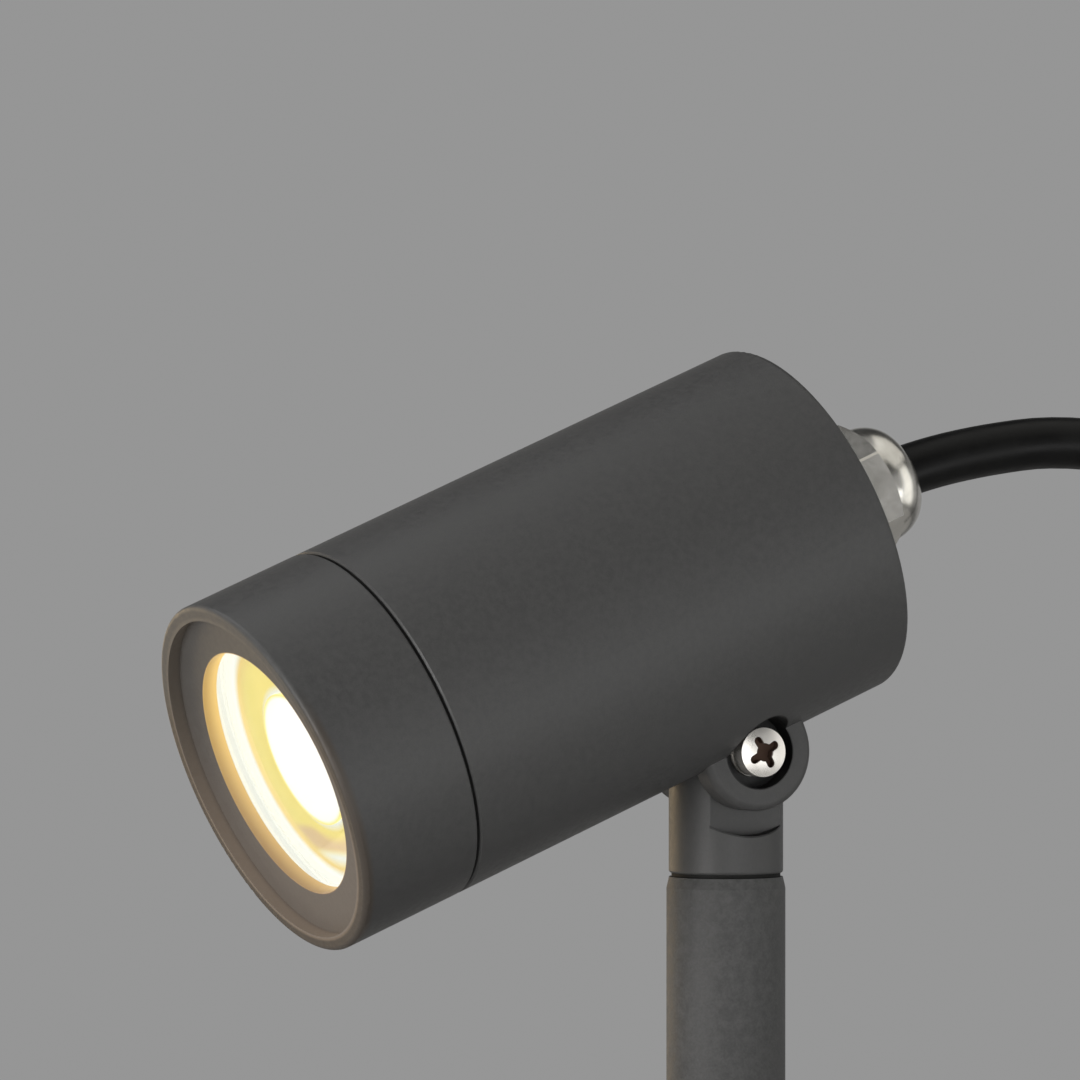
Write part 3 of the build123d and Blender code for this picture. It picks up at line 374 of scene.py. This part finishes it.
IVORY, DAYLIGHT = (1.0, 0.98, 0.92), (1.0, 0.99, 0.94)
SOFT_WHITE, AMBER = (1.0, 0.98, 0.96), (1.0, 0.73, 0.40)
softbox("overhead", turn=-30, rise=55, far=0.9, size=(0.8, 0.8), level=0.42)
softbox("ceiling_behind", turn=160, rise=58, far=1.0, size=(1.1, 0.8), level=0.17, colour=IVORY)
softbox("beside_camera", turn=78, rise=-8, far=1.0, size=(0.7, 0.75), level=0.37)
softbox("right", turn=117, rise=-11, far=1.0, size=(0.6, 0.3), level=0.105)
softbox("window_right", turn=151, rise=6, far=1.0, size=(0.5, 0.95), level=0.14, colour=DAYLIGHT)
softbox("front", turn=15, rise=-7, far=0.8, size=(0.5, 0.4), level=0.77, colour=SOFT_WHITE)
softbox("warm_return", turn=-68, rise=0, far=0.8, size=(0.5, 0.4), level=0.21, colour=AMBER)

# %% [markdown]
# ## Finishes
# Every finish is a material of nodes in the object's own metres, so grain keeps its real size
# on large and small pieces. Four effects are node groups, each built once: a pebbled grain for
# powder coat, rubber and moulded plastic, a polished metal with fine wear, a weave, and the
# place of a point on the head, which the lit lamp needs. Copying the same nodes into each
# material would be the plainer way, but harder to adjust together.


# %% Group and mixing helpers
FLOAT, COLOUR = "NodeSocketFloat", "NodeSocketColor"
LOOK = [("Color", COLOUR), ("Roughness", FLOAT), ("Height", FLOAT)]


def new_group(name, inputs, outputs):
    """Empty shader node group with its input and output nodes."""
    group = bpy.data.node_groups.new(name, "ShaderNodeTree")
    for label, kind, value in inputs:
        socket = group.interface.new_socket(label, in_out="INPUT", socket_type=kind)
        socket.default_value = value
    for label, kind in outputs:
        group.interface.new_socket(label, in_out="OUTPUT", socket_type=kind)
    return group, group.nodes.new("NodeGroupInput"), group.nodes.new("NodeGroupOutput")


def blend_colour(tree, share, first, second):
    """Colour between two colours, each a socket or a tuple."""
    node = add(tree, "ShaderNodeMix", data_type="RGBA")
    tree.links.new(share, node.inputs["Factor"])
    for label, value in (("A", first), ("B", second)):
        if isinstance(value, tuple):
            node.inputs[label].default_value = (*value, 1)
        else:
            tree.links.new(value, node.inputs[label])
    return node.outputs["Result"]


def stretch(tree, value, span, to_low=0.0, to_high=1.0):
    """Smooth ramp of a value across a span, given as (from, to), between two results."""
    node = add(tree, "ShaderNodeMapRange", {"Value": value}, interpolation_type="SMOOTHSTEP")
    ends = {"From Min": span[0], "From Max": span[1], "To Min": to_low, "To Max": to_high}
    for label, number in ends.items():
        if isinstance(number, (int, float)):
            node.inputs[label].default_value = number
        else:
            tree.links.new(number, node.inputs[label])
    return node.outputs[0]


print("helpers for groups, colour mixes and smooth ramps; each look gives",
      ", ".join(label for label, kind in LOOK))


# %% Number and mask helpers
def math_node(tree, operation, first, second=0.0):
    """Math node on two sockets or numbers; gives its output socket."""
    node = add(tree, "ShaderNodeMath", operation=operation)
    for slot, value in enumerate((first, second)):
        if isinstance(value, (int, float)):
            node.inputs[slot].default_value = value
        else:
            tree.links.new(value, node.inputs[slot])
    return node.outputs[0]


def above(tree, value, limit):
    """Mask that is 1 where a value is over a limit."""
    return math_node(tree, "GREATER_THAN", value, limit)


def below(tree, value, limit):
    """Mask that is 1 where a value is under a limit."""
    return math_node(tree, "LESS_THAN", value, limit)


def both(tree, *masks):
    """Mask that is 1 only where all the given ones are."""
    product = masks[0]
    for mask in masks[1:]:
        product = math_node(tree, "MULTIPLY", product, mask)
    return product


def mixed(tree, first, second, share):
    """Two values added, the first with the given share."""
    return math_node(tree, "ADD", math_node(tree, "MULTIPLY", first, share),
                     math_node(tree, "MULTIPLY", second, 1 - share))


print("helpers for numbers and masks")


# %% Pebbled grain
NOISE_SPAN = (0.3, 0.7)  # where most of a noise texture's values lie
PEBBLE_SHARE = 0.35  # of the change of colour; clouds give the rest
grain, given, result = new_group(
    "pebbled_grain",
    [
        ("Dark", COLOUR, (0.05, 0.05, 0.05, 1)),
        ("Light", COLOUR, (0.09, 0.09, 0.09, 1)),
        ("Pebbles per m", FLOAT, 2500.0),
        ("Clouds per m", FLOAT, 90.0),
        ("Rough low", FLOAT, 0.5),
        ("Rough high", FLOAT, 0.65),
    ],
    LOOK,
)
asked = given.outputs
spot = grain.nodes.new("ShaderNodeTexCoord").outputs["Object"]
pebbles = add(grain, "ShaderNodeTexNoise", {"Vector": spot, "Scale": asked["Pebbles per m"]},
              {"Detail": 3.0, "Roughness": 0.6}).outputs["Fac"]
clouds = add(grain, "ShaderNodeTexNoise", {"Vector": spot, "Scale": asked["Clouds per m"]},
             {"Detail": 4.0, "Roughness": 0.6}).outputs["Fac"]
shade = stretch(grain, mixed(grain, pebbles, clouds, PEBBLE_SHARE), NOISE_SPAN)
colour = blend_colour(grain, shade, asked["Dark"], asked["Light"])
rough = stretch(grain, clouds, NOISE_SPAN, asked["Rough low"], asked["Rough high"])
grain.links.new(colour, result.inputs["Color"])
grain.links.new(rough, result.inputs["Roughness"])
grain.links.new(pebbles, result.inputs["Height"])
print("group", grain.name, len(grain.nodes), "nodes")

# %% Worn metal
SMEAR_SHARE = 0.6  # of the wear; scratches give the rest
metal, given, result = new_group(
    "worn_metal",
    [
        ("Dark", COLOUR, (0.5, 0.48, 0.44, 1)),
        ("Light", COLOUR, (0.7, 0.68, 0.64, 1)),
        ("Smears per m", FLOAT, 160.0),
        ("Scratches per m", FLOAT, 900.0),
        ("Rough low", FLOAT, 0.15),
        ("Rough high", FLOAT, 0.3),
    ],
    LOOK,
)
asked = given.outputs
spot = metal.nodes.new("ShaderNodeTexCoord").outputs["Object"]
smears = add(metal, "ShaderNodeTexNoise", {"Vector": spot, "Scale": asked["Smears per m"]},
             {"Detail": 5.0, "Roughness": 0.6, "Distortion": 0.6}).outputs["Fac"]
drawn_out = add(metal, "ShaderNodeMapping", {"Vector": spot}, {"Scale": (1.0, 9.0, 9.0)})
scratches = add(metal, "ShaderNodeTexNoise",
                {"Vector": drawn_out.outputs[0], "Scale": asked["Scratches per m"]},
                {"Detail": 2.0, "Roughness": 0.7}).outputs["Fac"]
shade = stretch(metal, smears, NOISE_SPAN)
colour = blend_colour(metal, shade, asked["Dark"], asked["Light"])
wear = mixed(metal, smears, scratches, SMEAR_SHARE)
rough = stretch(metal, wear, NOISE_SPAN, asked["Rough low"], asked["Rough high"])
metal.links.new(colour, result.inputs["Color"])
metal.links.new(rough, result.inputs["Roughness"])
metal.links.new(scratches, result.inputs["Height"])
print("group", metal.name, len(metal.nodes), "nodes")

# %% Weave
weave, given, result = new_group(
    "weave",
    [
        ("Dark", COLOUR, (0.01, 0.01, 0.01, 1)),
        ("Light", COLOUR, (0.05, 0.05, 0.05, 1)),
        ("Threads per m", FLOAT, 260.0),
        ("Rough low", FLOAT, 0.8),
        ("Rough high", FLOAT, 0.95),
    ],
    LOOK,
)
asked = given.outputs
spot = weave.nodes.new("ShaderNodeTexCoord").outputs["Object"]
ribs = []
for direction in ("X", "Z"):
    wave = add(weave, "ShaderNodeTexWave", {"Vector": spot, "Scale": asked["Threads per m"]},
               {"Distortion": 1.2, "Detail": 2.0, "Detail Scale": 2.0},
               bands_direction=direction)
    ribs.append(wave.outputs["Fac"])
thread = both(weave, *ribs)
colour = blend_colour(weave, thread, asked["Dark"], asked["Light"])
rough = stretch(weave, thread, (0.0, 1.0), asked["Rough high"], asked["Rough low"])
weave.links.new(colour, result.inputs["Color"])
weave.links.new(rough, result.inputs["Roughness"])
weave.links.new(thread, result.inputs["Height"])
print("group", weave.name, len(weave.nodes), "nodes")

# %% Place on the head
HEAD_R = 0.030
PLACES = ("Radius", "Depth", "Rise")
place, given, result = new_group("head_place", [], [(label, FLOAT) for label in PLACES])
spot = place.nodes.new("ShaderNodeTexCoord").outputs["Object"]
offset = add(place, "ShaderNodeVectorMath", {0: spot}, {1: tuple(front_mid)},
             operation="SUBTRACT").outputs[0]
depth = dot(place, offset, -head_out)
rise = dot(place, offset, head_up)
square = add(place, "ShaderNodeVectorMath", {0: offset, 1: offset},
             operation="DOT_PRODUCT").outputs["Value"]
across = math_node(place, "SUBTRACT", square, math_node(place, "MULTIPLY", depth, depth))
radius = math_node(place, "SQRT", math_node(place, "MAXIMUM", across))
for label, length in zip(PLACES, (radius, depth, rise)):
    place.links.new(math_node(place, "DIVIDE", length, HEAD_R), result.inputs[label])
print("group", place.name, "gives", ", ".join(PLACES), "as shares of", HEAD_R, "m")


def head_shares(tree):
    """Radius, depth and rise of a point on the head, as shares of the head's radius."""
    spread = add(tree, "ShaderNodeGroup", node_tree=place)
    return [spread.outputs[label] for label in PLACES]


# %% Surface and dress
RELIEF = 0.0001  # metres that a full bump stands out


def surface(name, effect, values, bump, **sockets):
    """Material with a shared effect in its colour, roughness and relief."""
    material = bpy.data.materials.new(name)
    material.use_nodes = True
    tree = material.node_tree
    shader = tree.nodes["Principled BSDF"]
    for label, value in sockets.items():
        shader.inputs[label.replace("_", " ")].default_value = value
    node = add(tree, "ShaderNodeGroup", name="effect", node_tree=effect)
    for label, value in values.items():
        node.inputs[label].default_value = (*value, 1) if isinstance(value, tuple) else value
    relief = add(tree, "ShaderNodeBump", {"Height": node.outputs["Height"]},
                 {"Strength": bump, "Distance": RELIEF})
    tree.links.new(node.outputs["Color"], shader.inputs["Base Color"])
    tree.links.new(node.outputs["Roughness"], shader.inputs["Roughness"])
    tree.links.new(relief.outputs["Normal"], shader.inputs["Normal"])
    return material


def dress(material, *names):
    """Gives solids a material in place of their plain one."""
    for name in names:
        mesh = nodes[name].data
        mesh.materials.clear()
        mesh.materials.append(material)
    print(material.name, "on", ", ".join(names))


print("helpers for materials, with a full bump of", RELIEF, "m")


# %% Values and changes of a finish
NONE = (0.0, 0.0, 0.0)


def grained(dark, light, pebbles, clouds, rough):
    """Values for the pebbled grain."""
    return {"Dark": dark, "Light": light, "Pebbles per m": pebbles, "Clouds per m": clouds,
            "Rough low": rough[0], "Rough high": rough[1]}


def worn(dark, light, rough, smears=160.0, scratches=900.0):
    """Values for the worn metal."""
    return {"Dark": dark, "Light": light, "Smears per m": smears, "Scratches per m": scratches,
            "Rough low": rough[0], "Rough high": rough[1]}


def recolour(tree, mask, colour, label="Base Color"):
    """Changes the shader's base or glow to another colour where a mask is 1."""
    socket = tree.nodes["Principled BSDF"].inputs[label]
    now = socket.links[0].from_socket if socket.links else NONE
    tree.links.new(blend_colour(tree, mask, now, colour), socket)


print("helpers for a finish's values and its changes of colour")


# %% [markdown]
# ## Powder-coated metal
# The head and knuckle are turned and cast aluminium under a fine matte powder coat, baked on
# so that it melts into a faintly pebbled skin. The stem is a tube with the same coat over a
# rougher, mottled surface. A car-paint shader would be too glossy, so the coat is a plain
# dark grey with low gloss, and nearly all its look comes from grain and soft light. A painted
# dark line stands for the shade on the knuckle's narrow ledge, and painted black stands for the
# shade in the screw's counterbores.


# %% Coat helpers
coat_values = grained((0.053, 0.053, 0.053), (0.066, 0.066, 0.065),
                      pebbles=3400.0, clouds=900.0, rough=(0.42, 0.54))


def coated(name, strength=0.0):
    """Powder coat, with the strength of its glow where it stands in the lamp's light."""
    return surface(name, grain, coat_values, bump=0.22, Specular_IOR_Level=0.35,
                   Emission_Strength=strength)


def axis_place(tree):
    """Square of the distance from the tilt axis, and the place along it."""
    spot = tree.nodes.new("ShaderNodeTexCoord").outputs["Object"]
    from_pivot = add(tree, "ShaderNodeVectorMath", {0: spot}, {1: tuple(pivot)},
                     operation="SUBTRACT")
    apart = add(tree, "ShaderNodeSeparateXYZ", {0: from_pivot.outputs[0]}).outputs
    square = math_node(tree, "ADD", math_node(tree, "MULTIPLY", apart["Y"], apart["Y"]),
                       math_node(tree, "MULTIPLY", apart["Z"], apart["Z"]))
    return square, apart["X"]


print("coat greys", coat_values["Dark"], "to", coat_values["Light"])


# %% Knuckle and stem
LEDGE_R = (0.01365, 0.01405)  # ledge where the knuckle's flats end
LEDGE_OUT = 0.0067  # just inside the flats
LEDGE_SHADE = (0.012, 0.012, 0.012)
knuckle_coat = coated("knuckle_coat")
tree = knuckle_coat.node_tree
square, along_axis = axis_place(tree)
# painted shade: a dark line on the knuckle's ledge where its flats end
ledge = both(
    tree,
    above(tree, square, LEDGE_R[0] ** 2),
    below(tree, square, LEDGE_R[1] ** 2),
    above(tree, math_node(tree, "ABSOLUTE", along_axis), LEDGE_OUT),
)
recolour(tree, ledge, LEDGE_SHADE)
dress(knuckle_coat, "knuckle")
stem_values = grained((0.050, 0.050, 0.050), (0.092, 0.092, 0.091),
                      pebbles=2400.0, clouds=620.0, rough=(0.5, 0.7))
stem_coat = surface("stem_coat", grain, stem_values, bump=0.35, Specular_IOR_Level=0.3)
dress(stem_coat, "stem")

# %% Head
PALE = (0.95, 0.985, 0.92)  # the lamp's own light on what is nearest to it
BORE_R = 0.00615  # counterbores around the tilt screw
BORE_SHADE = (0.006, 0.006, 0.006)
INNER_SHARE = 0.857  # painted inside of the housing
LIT_DEPTH = (0.5, 0.35)  # the lamp's light on it fades in from back to front
head_coat = coated("head_coat", strength=1.05)
tree = head_coat.node_tree
square, _ = axis_place(tree)
# painted shade: the counterbores around the tilt screw are painted nearly black
recolour(tree, below(tree, square, BORE_R**2), BORE_SHADE)
radius, depth, _ = head_shares(tree)
lit_inside = both(tree, below(tree, radius, INNER_SHARE), stretch(tree, depth, LIT_DEPTH))
recolour(tree, lit_inside, PALE, "Emission Color")
dress(head_coat, "head_housing")

# %% [markdown]
# ## Front ring and its lit opening
# The ring has the same coat, but the wall of its opening stands right in the beam and glows
# golden, deeper towards the front and dimmer below. A little warm light also spills on the
# front, most of it low down, and its warm tint on the lip is painted light in the lip's base
# colour. Strong lamps inside could light it all, at the cost of noise and burnt-out whites. The
# glow is an emission on the coat instead, masked by the place on the head.

# %% Ring's front in warm light
FRONT_DEPTH = (0.12, 0.05)
FRONT_SHARE = (0.945, 0.925)
SPILL_RISE = (0.7, -0.7)
SPILL_TOP, SPILL_LOW = (0.028, 0.021, 0.014), (0.118, 0.086, 0.060)
LIP_SHARE = 0.925  # inner edge of the lip
LIP_DEPTH = (0.07, 0.03)
LIP_RISE = (0.6, 0.2)
LIP_PAINTED_LIGHT = (0.060, 0.050, 0.041)
ring_coat = coated("ring_coat", strength=1.0)
tree = ring_coat.node_tree
radius, depth, rise = head_shares(tree)
front = both(tree, stretch(tree, depth, FRONT_DEPTH), stretch(tree, radius, FRONT_SHARE))
spill = blend_colour(tree, stretch(tree, rise, SPILL_RISE), SPILL_TOP, SPILL_LOW)
recolour(tree, front, spill, "Emission Color")
# painted light: the lamp's warm light on the lower lip is painted into its base colour
lip = both(tree, above(tree, radius, LIP_SHARE), stretch(tree, depth, LIP_DEPTH),
           stretch(tree, rise, LIP_RISE))
recolour(tree, lip, LIP_PAINTED_LIGHT)
dress(ring_coat, "front_ring")

# %% Ring's lit opening and glass pocket
POCKET_SHARE, POCKET_DEPTH = 0.91, 0.172  # pocket that holds the glass
OPENING_SHARE = 0.6967  # opening's radius on the head's own
OPENING_SPAN = (OPENING_SHARE + 0.006, OPENING_SHARE + 0.001)
WALL_DEPTH = (0.08, 0.17)
WALL_RISE = (-0.65, 0.45)
WALL_LOW = ((0.34, 0.20, 0.08), (0.62, 0.40, 0.15))  # at its front and at its back
WALL_TOP = ((0.52, 0.32, 0.09), (0.90, 0.60, 0.19))
# painted light: the pocket that holds the glass glows pale with the lamp's light
pocket = both(tree, below(tree, radius, POCKET_SHARE), above(tree, depth, POCKET_DEPTH))
recolour(tree, pocket, PALE, "Emission Color")
inward = stretch(tree, depth, WALL_DEPTH)
wall_glow = blend_colour(tree, stretch(tree, rise, WALL_RISE),
                         blend_colour(tree, inward, *WALL_LOW),
                         blend_colour(tree, inward, *WALL_TOP))
recolour(tree, stretch(tree, radius, OPENING_SPAN), wall_glow, "Emission Color")
print(ring_coat.name, "has", len(tree.nodes), "nodes")

# %% [markdown]
# ## Lamp behind the glass
# A reflector lamp sits behind a clear toughened glass on a silicone gasket. Its lens shows a
# white-hot middle optic, a golden band around it and a pale bright rim. The bands are a colour
# ramp along the radius, which stays crisp at any distance and needs no picture. Two soft
# patches low on the lens, a painted brown shade and a painted pale highlight, are where its
# facets turn away.


# %% Glowing bands
def lit(name, values, bands, strength):
    """Grained material that also glows, in (radius share, colour) bands about the head's axis."""
    material = surface(name, grain, values, bump=0.1, Emission_Strength=strength)
    tree = material.node_tree
    radius, _, _ = head_shares(tree)
    glow = tree.nodes["Principled BSDF"].inputs["Emission Color"]
    tree.links.new(ramp(tree, radius, bands), glow)
    return material


print("helper for bands of glow, by", place.name)


# %% Lens with two soft patches
GOLD = (1.0, 0.83, 0.22)
DEEP_GOLD = (0.96, 0.70, 0.21)
HOT = (1.0, 1.0, 0.97)
LENS_SHADE = (0.82, 0.57, 0.29)
LENS_BANDS = ((0.385, PALE), (0.43, GOLD), (0.58, GOLD), (0.66, DEEP_GOLD), (0.70, PALE),
              (0.715, HOT), (0.74, PALE), (0.79, PALE))
FACETS_IN, FACETS_OUT = (0.44, 0.52), (0.66, 0.58)  # faceted ring, across the radius
PATCHES = ((-0.58, -0.38, LENS_SHADE), (-0.68, -0.53, PALE))  # lower end, upper end, colour
PATCH_SOFT = 0.06
dim_clear = grained((0.10, 0.08, 0.05), (0.14, 0.11, 0.07),
                    pebbles=900.0, clouds=300.0, rough=(0.1, 0.2))
lens = lit("lamp_lens", dim_clear, LENS_BANDS, strength=1.05)
tree = lens.node_tree
radius, _, rise = head_shares(tree)
facets = both(tree, stretch(tree, radius, FACETS_IN), stretch(tree, radius, FACETS_OUT))
# painted shade and painted highlight: two soft patches in the lens's glow
for low, high, colour in PATCHES:
    patch = both(tree, facets, stretch(tree, rise, (low, low + PATCH_SOFT)),
                 stretch(tree, rise, (high, high - PATCH_SOFT)))
    recolour(tree, patch, colour, "Emission Color")
dress(lens, "lamp_lens")

# %% Optic, shell and gasket
OPTIC_BANDS = ((0.0, HOT), (0.31, HOT), (0.355, PALE), (0.376, GOLD))
SHELL_BANDS = ((0.70, NONE), (0.76, GOLD), (0.79, PALE), (0.83, PALE))
# painted light: the silicone gasket, which is no lamp, glows with the lamp's light in these bands
GASKET_PAINTED_LIGHT = ((0.80, PALE), (0.89, PALE))
dress(lit("lamp_optic", dim_clear, OPTIC_BANDS, strength=1.3), "lamp_optic")
white_shell = grained((0.30, 0.28, 0.24), (0.36, 0.34, 0.30),
                      pebbles=1200.0, clouds=200.0, rough=(0.4, 0.5))
dress(lit("lamp_shell", white_shell, SHELL_BANDS, strength=0.95), "lamp_body")
silicone = grained((0.20, 0.18, 0.14), (0.24, 0.22, 0.17),
                   pebbles=1500.0, clouds=250.0, rough=(0.4, 0.55))
dress(lit("gasket_silicone", silicone, GASKET_PAINTED_LIGHT, strength=1.05), "glass_gasket")

# %% Clear glass
clear_values = grained((0.965, 0.985, 0.975), (0.985, 1.0, 0.99),
                       pebbles=400.0, clouds=60.0, rough=(0.0, 0.01))
clear_glass = surface("clear_glass", grain, clear_values, bump=0.0, Transmission_Weight=1.0,
                      IOR=1.5)
dress(clear_glass, "front_glass")

# %% [markdown]
# ## Nickel, steel, brass and aluminium
# The gland and the tilt screw are nickel-plated, bright with soft smears from handling, and the
# screw's cross recess is dull, with its shade painted dark brown. The hidden washers, bolts and
# plates are plainer metal.
# One effect with other tones and roughness gives them all, which is closer to a workshop's mixed
# box of parts than one chrome.

# %% Nickel
gland_values = worn((0.66, 0.64, 0.59), (0.80, 0.78, 0.73), rough=(0.16, 0.26))
gland_nickel = surface("gland_nickel", metal, gland_values, bump=0.05, Metallic=1.0)
dress(gland_nickel, "gland_body", "gland_nut", "gland_locknut")
plated_values = worn((0.74, 0.71, 0.66), (0.88, 0.85, 0.80), rough=(0.24, 0.36))
plated = surface("plated_nickel", metal, plated_values, bump=0.05, Metallic=1.0)
dress(plated, "pivot_nut", "plug_pins", "plug_clips")

# %% Tilt screw with a dull recess
CROSS_REACH = 0.0031  # from the screw's axis
CROSS_TOP = 0.01344  # along it, just under the head's face
CROSS_SOFT = 0.0002
CROSS_SHADE = (0.09, 0.055, 0.04)
CROSS_ROUGH = 0.7
screw_nickel = surface("screw_nickel", metal, plated_values, bump=0.05, Metallic=0.8)
tree = screw_nickel.node_tree
square, along_axis = axis_place(tree)
# painted shade: the cross recess is painted dark brown
recess = both(tree, below(tree, square, CROSS_REACH**2),
              stretch(tree, along_axis, (CROSS_TOP, CROSS_TOP - CROSS_SOFT)))
recolour(tree, recess, CROSS_SHADE)
rough = math_node(tree, "MAXIMUM", tree.nodes["effect"].outputs["Roughness"],
                  math_node(tree, "MULTIPLY", recess, CROSS_ROUGH))
tree.links.new(rough, tree.nodes["Principled BSDF"].inputs["Roughness"])
dress(screw_nickel, "pivot_screw")

# %% Plain metals
steel_values = worn((0.36, 0.35, 0.33), (0.5, 0.49, 0.46), rough=(0.3, 0.45))
steel = surface("bright_steel", metal, steel_values, bump=0.1, Metallic=1.0)
dress(steel, "plate_screws", "lampholder_screws", "terminal_screws", "earth_tag", "earth_screw",
      "pivot_flat_washer", "pivot_spring_washer", "swivel_bolt", "swivel_washer",
      "stem_grub_screw")
sheet_values = worn((0.55, 0.55, 0.56), (0.68, 0.68, 0.69), rough=(0.35, 0.5),
                    smears=90.0, scratches=1400.0)
sheet_metal = surface("mill_aluminium", metal, sheet_values, bump=0.15, Metallic=1.0)
dress(sheet_metal, "lampholder_plate", "stem_bush")
brass_values = worn((0.56, 0.40, 0.18), (0.72, 0.55, 0.28), rough=(0.25, 0.4))
brass = surface("pin_brass", metal, brass_values, bump=0.08, Metallic=1.0)
dress(brass, "lamp_pins")

# %% [markdown]
# ## Rubber, plastic and insulation
# The cord has a satin black rubber sheath that dulls where it is handled, and the plug is
# moulded in the same rubber. The spike is glass-filled nylon, hard and slightly dusty from the
# soil. Inside, the lampholder is glazed ceramic and each core has its own insulation colour. One
# black plastic for all the dark pieces would be quicker, but the cord's soft sheen, the plug's
# pebbled skin and the spike's dust would be lost.

# %% Rubber and spike
rubber_values = grained((0.0022, 0.0022, 0.0022), (0.0055, 0.0055, 0.0053),
                        pebbles=1800.0, clouds=140.0, rough=(0.34, 0.46))
cord_rubber = surface("cord_rubber", grain, rubber_values, bump=0.12, Specular_IOR_Level=0.2)
cord.data.materials.append(cord_rubber)
moulded_values = grained((0.006, 0.006, 0.006), (0.014, 0.014, 0.0135),
                         pebbles=2600.0, clouds=110.0, rough=(0.45, 0.6))
moulded = surface("plug_rubber", grain, moulded_values, bump=0.25, Specular_IOR_Level=0.4)
dress(moulded, "plug_body")
seal_values = grained((0.008, 0.008, 0.008), (0.018, 0.018, 0.018),
                      pebbles=2200.0, clouds=180.0, rough=(0.55, 0.75))
seal_rubber = surface("seal_rubber", grain, seal_values, bump=0.2)
dress(seal_rubber, "front_o_ring", "gland_washer", "gland_seal", "knuckle_o_ring")
spike_values = grained((0.010, 0.010, 0.010), (0.024, 0.023, 0.021),
                       pebbles=2000.0, clouds=75.0, rough=(0.45, 0.65))
dress(surface("spike_nylon", grain, spike_values, bump=0.3), "ground_spike")

# %% Ceramic, block and slip ring
ceramic_values = grained((0.66, 0.63, 0.57), (0.78, 0.76, 0.71),
                         pebbles=1500.0, clouds=160.0, rough=(0.12, 0.3))
ceramic = surface("glazed_ceramic", grain, ceramic_values, bump=0.12, Coat_Weight=0.4)
dress(ceramic, "lampholder")
block_values = grained((0.60, 0.59, 0.55), (0.72, 0.71, 0.68),
                       pebbles=1800.0, clouds=200.0, rough=(0.35, 0.5))
dress(surface("block_nylon", grain, block_values, bump=0.15), "terminal_block")
slip_values = grained((0.006, 0.006, 0.006), (0.012, 0.012, 0.011),
                      pebbles=1800.0, clouds=200.0, rough=(0.6, 0.75))
slip_ring = surface("swivel_slip_ring", grain, slip_values, bump=0.1, Specular_IOR_Level=0.15)
dress(slip_ring, "swivel_ring")


# %% Wires
def sleeve(name, dark, light):
    """Smooth insulation in two tones."""
    values = grained(dark, light, pebbles=1600.0, clouds=240.0, rough=(0.3, 0.45))
    return surface(name, grain, values, bump=0.1)


GREEN = (0.02, 0.17, 0.03)
STRIPES_PER_M = 110.0
STRIPE_SPAN = (0.62, 0.68)
dress(sleeve("live_brown", (0.085, 0.036, 0.018), (0.13, 0.058, 0.03)), "core_live")
dress(sleeve("neutral_blue", (0.018, 0.09, 0.30), (0.03, 0.14, 0.42)), "core_neutral")
dress(sleeve("lead_sleeve", (0.52, 0.50, 0.45), (0.66, 0.64, 0.60)), "lampholder_leads")
earth_sleeve = sleeve("earth_stripes", (0.30, 0.27, 0.02), (0.42, 0.38, 0.04))
tree = earth_sleeve.node_tree
spot = tree.nodes.new("ShaderNodeTexCoord").outputs["Object"]
stripes = add(tree, "ShaderNodeTexWave", {"Vector": spot},
              {"Scale": STRIPES_PER_M, "Distortion": 0.4}, bands_direction="X")
recolour(tree, stretch(tree, stripes.outputs["Fac"], STRIPE_SPAN), GREEN)
dress(earth_sleeve, "core_earth")

# %% Cord tie
tie_values = {"Dark": (0.012, 0.012, 0.013), "Light": (0.05, 0.05, 0.052),
              "Threads per m": 420.0}
dress(surface("tie_weave", weave, tie_values, bump=0.6, Sheen_Weight=0.3), "cord_tie")
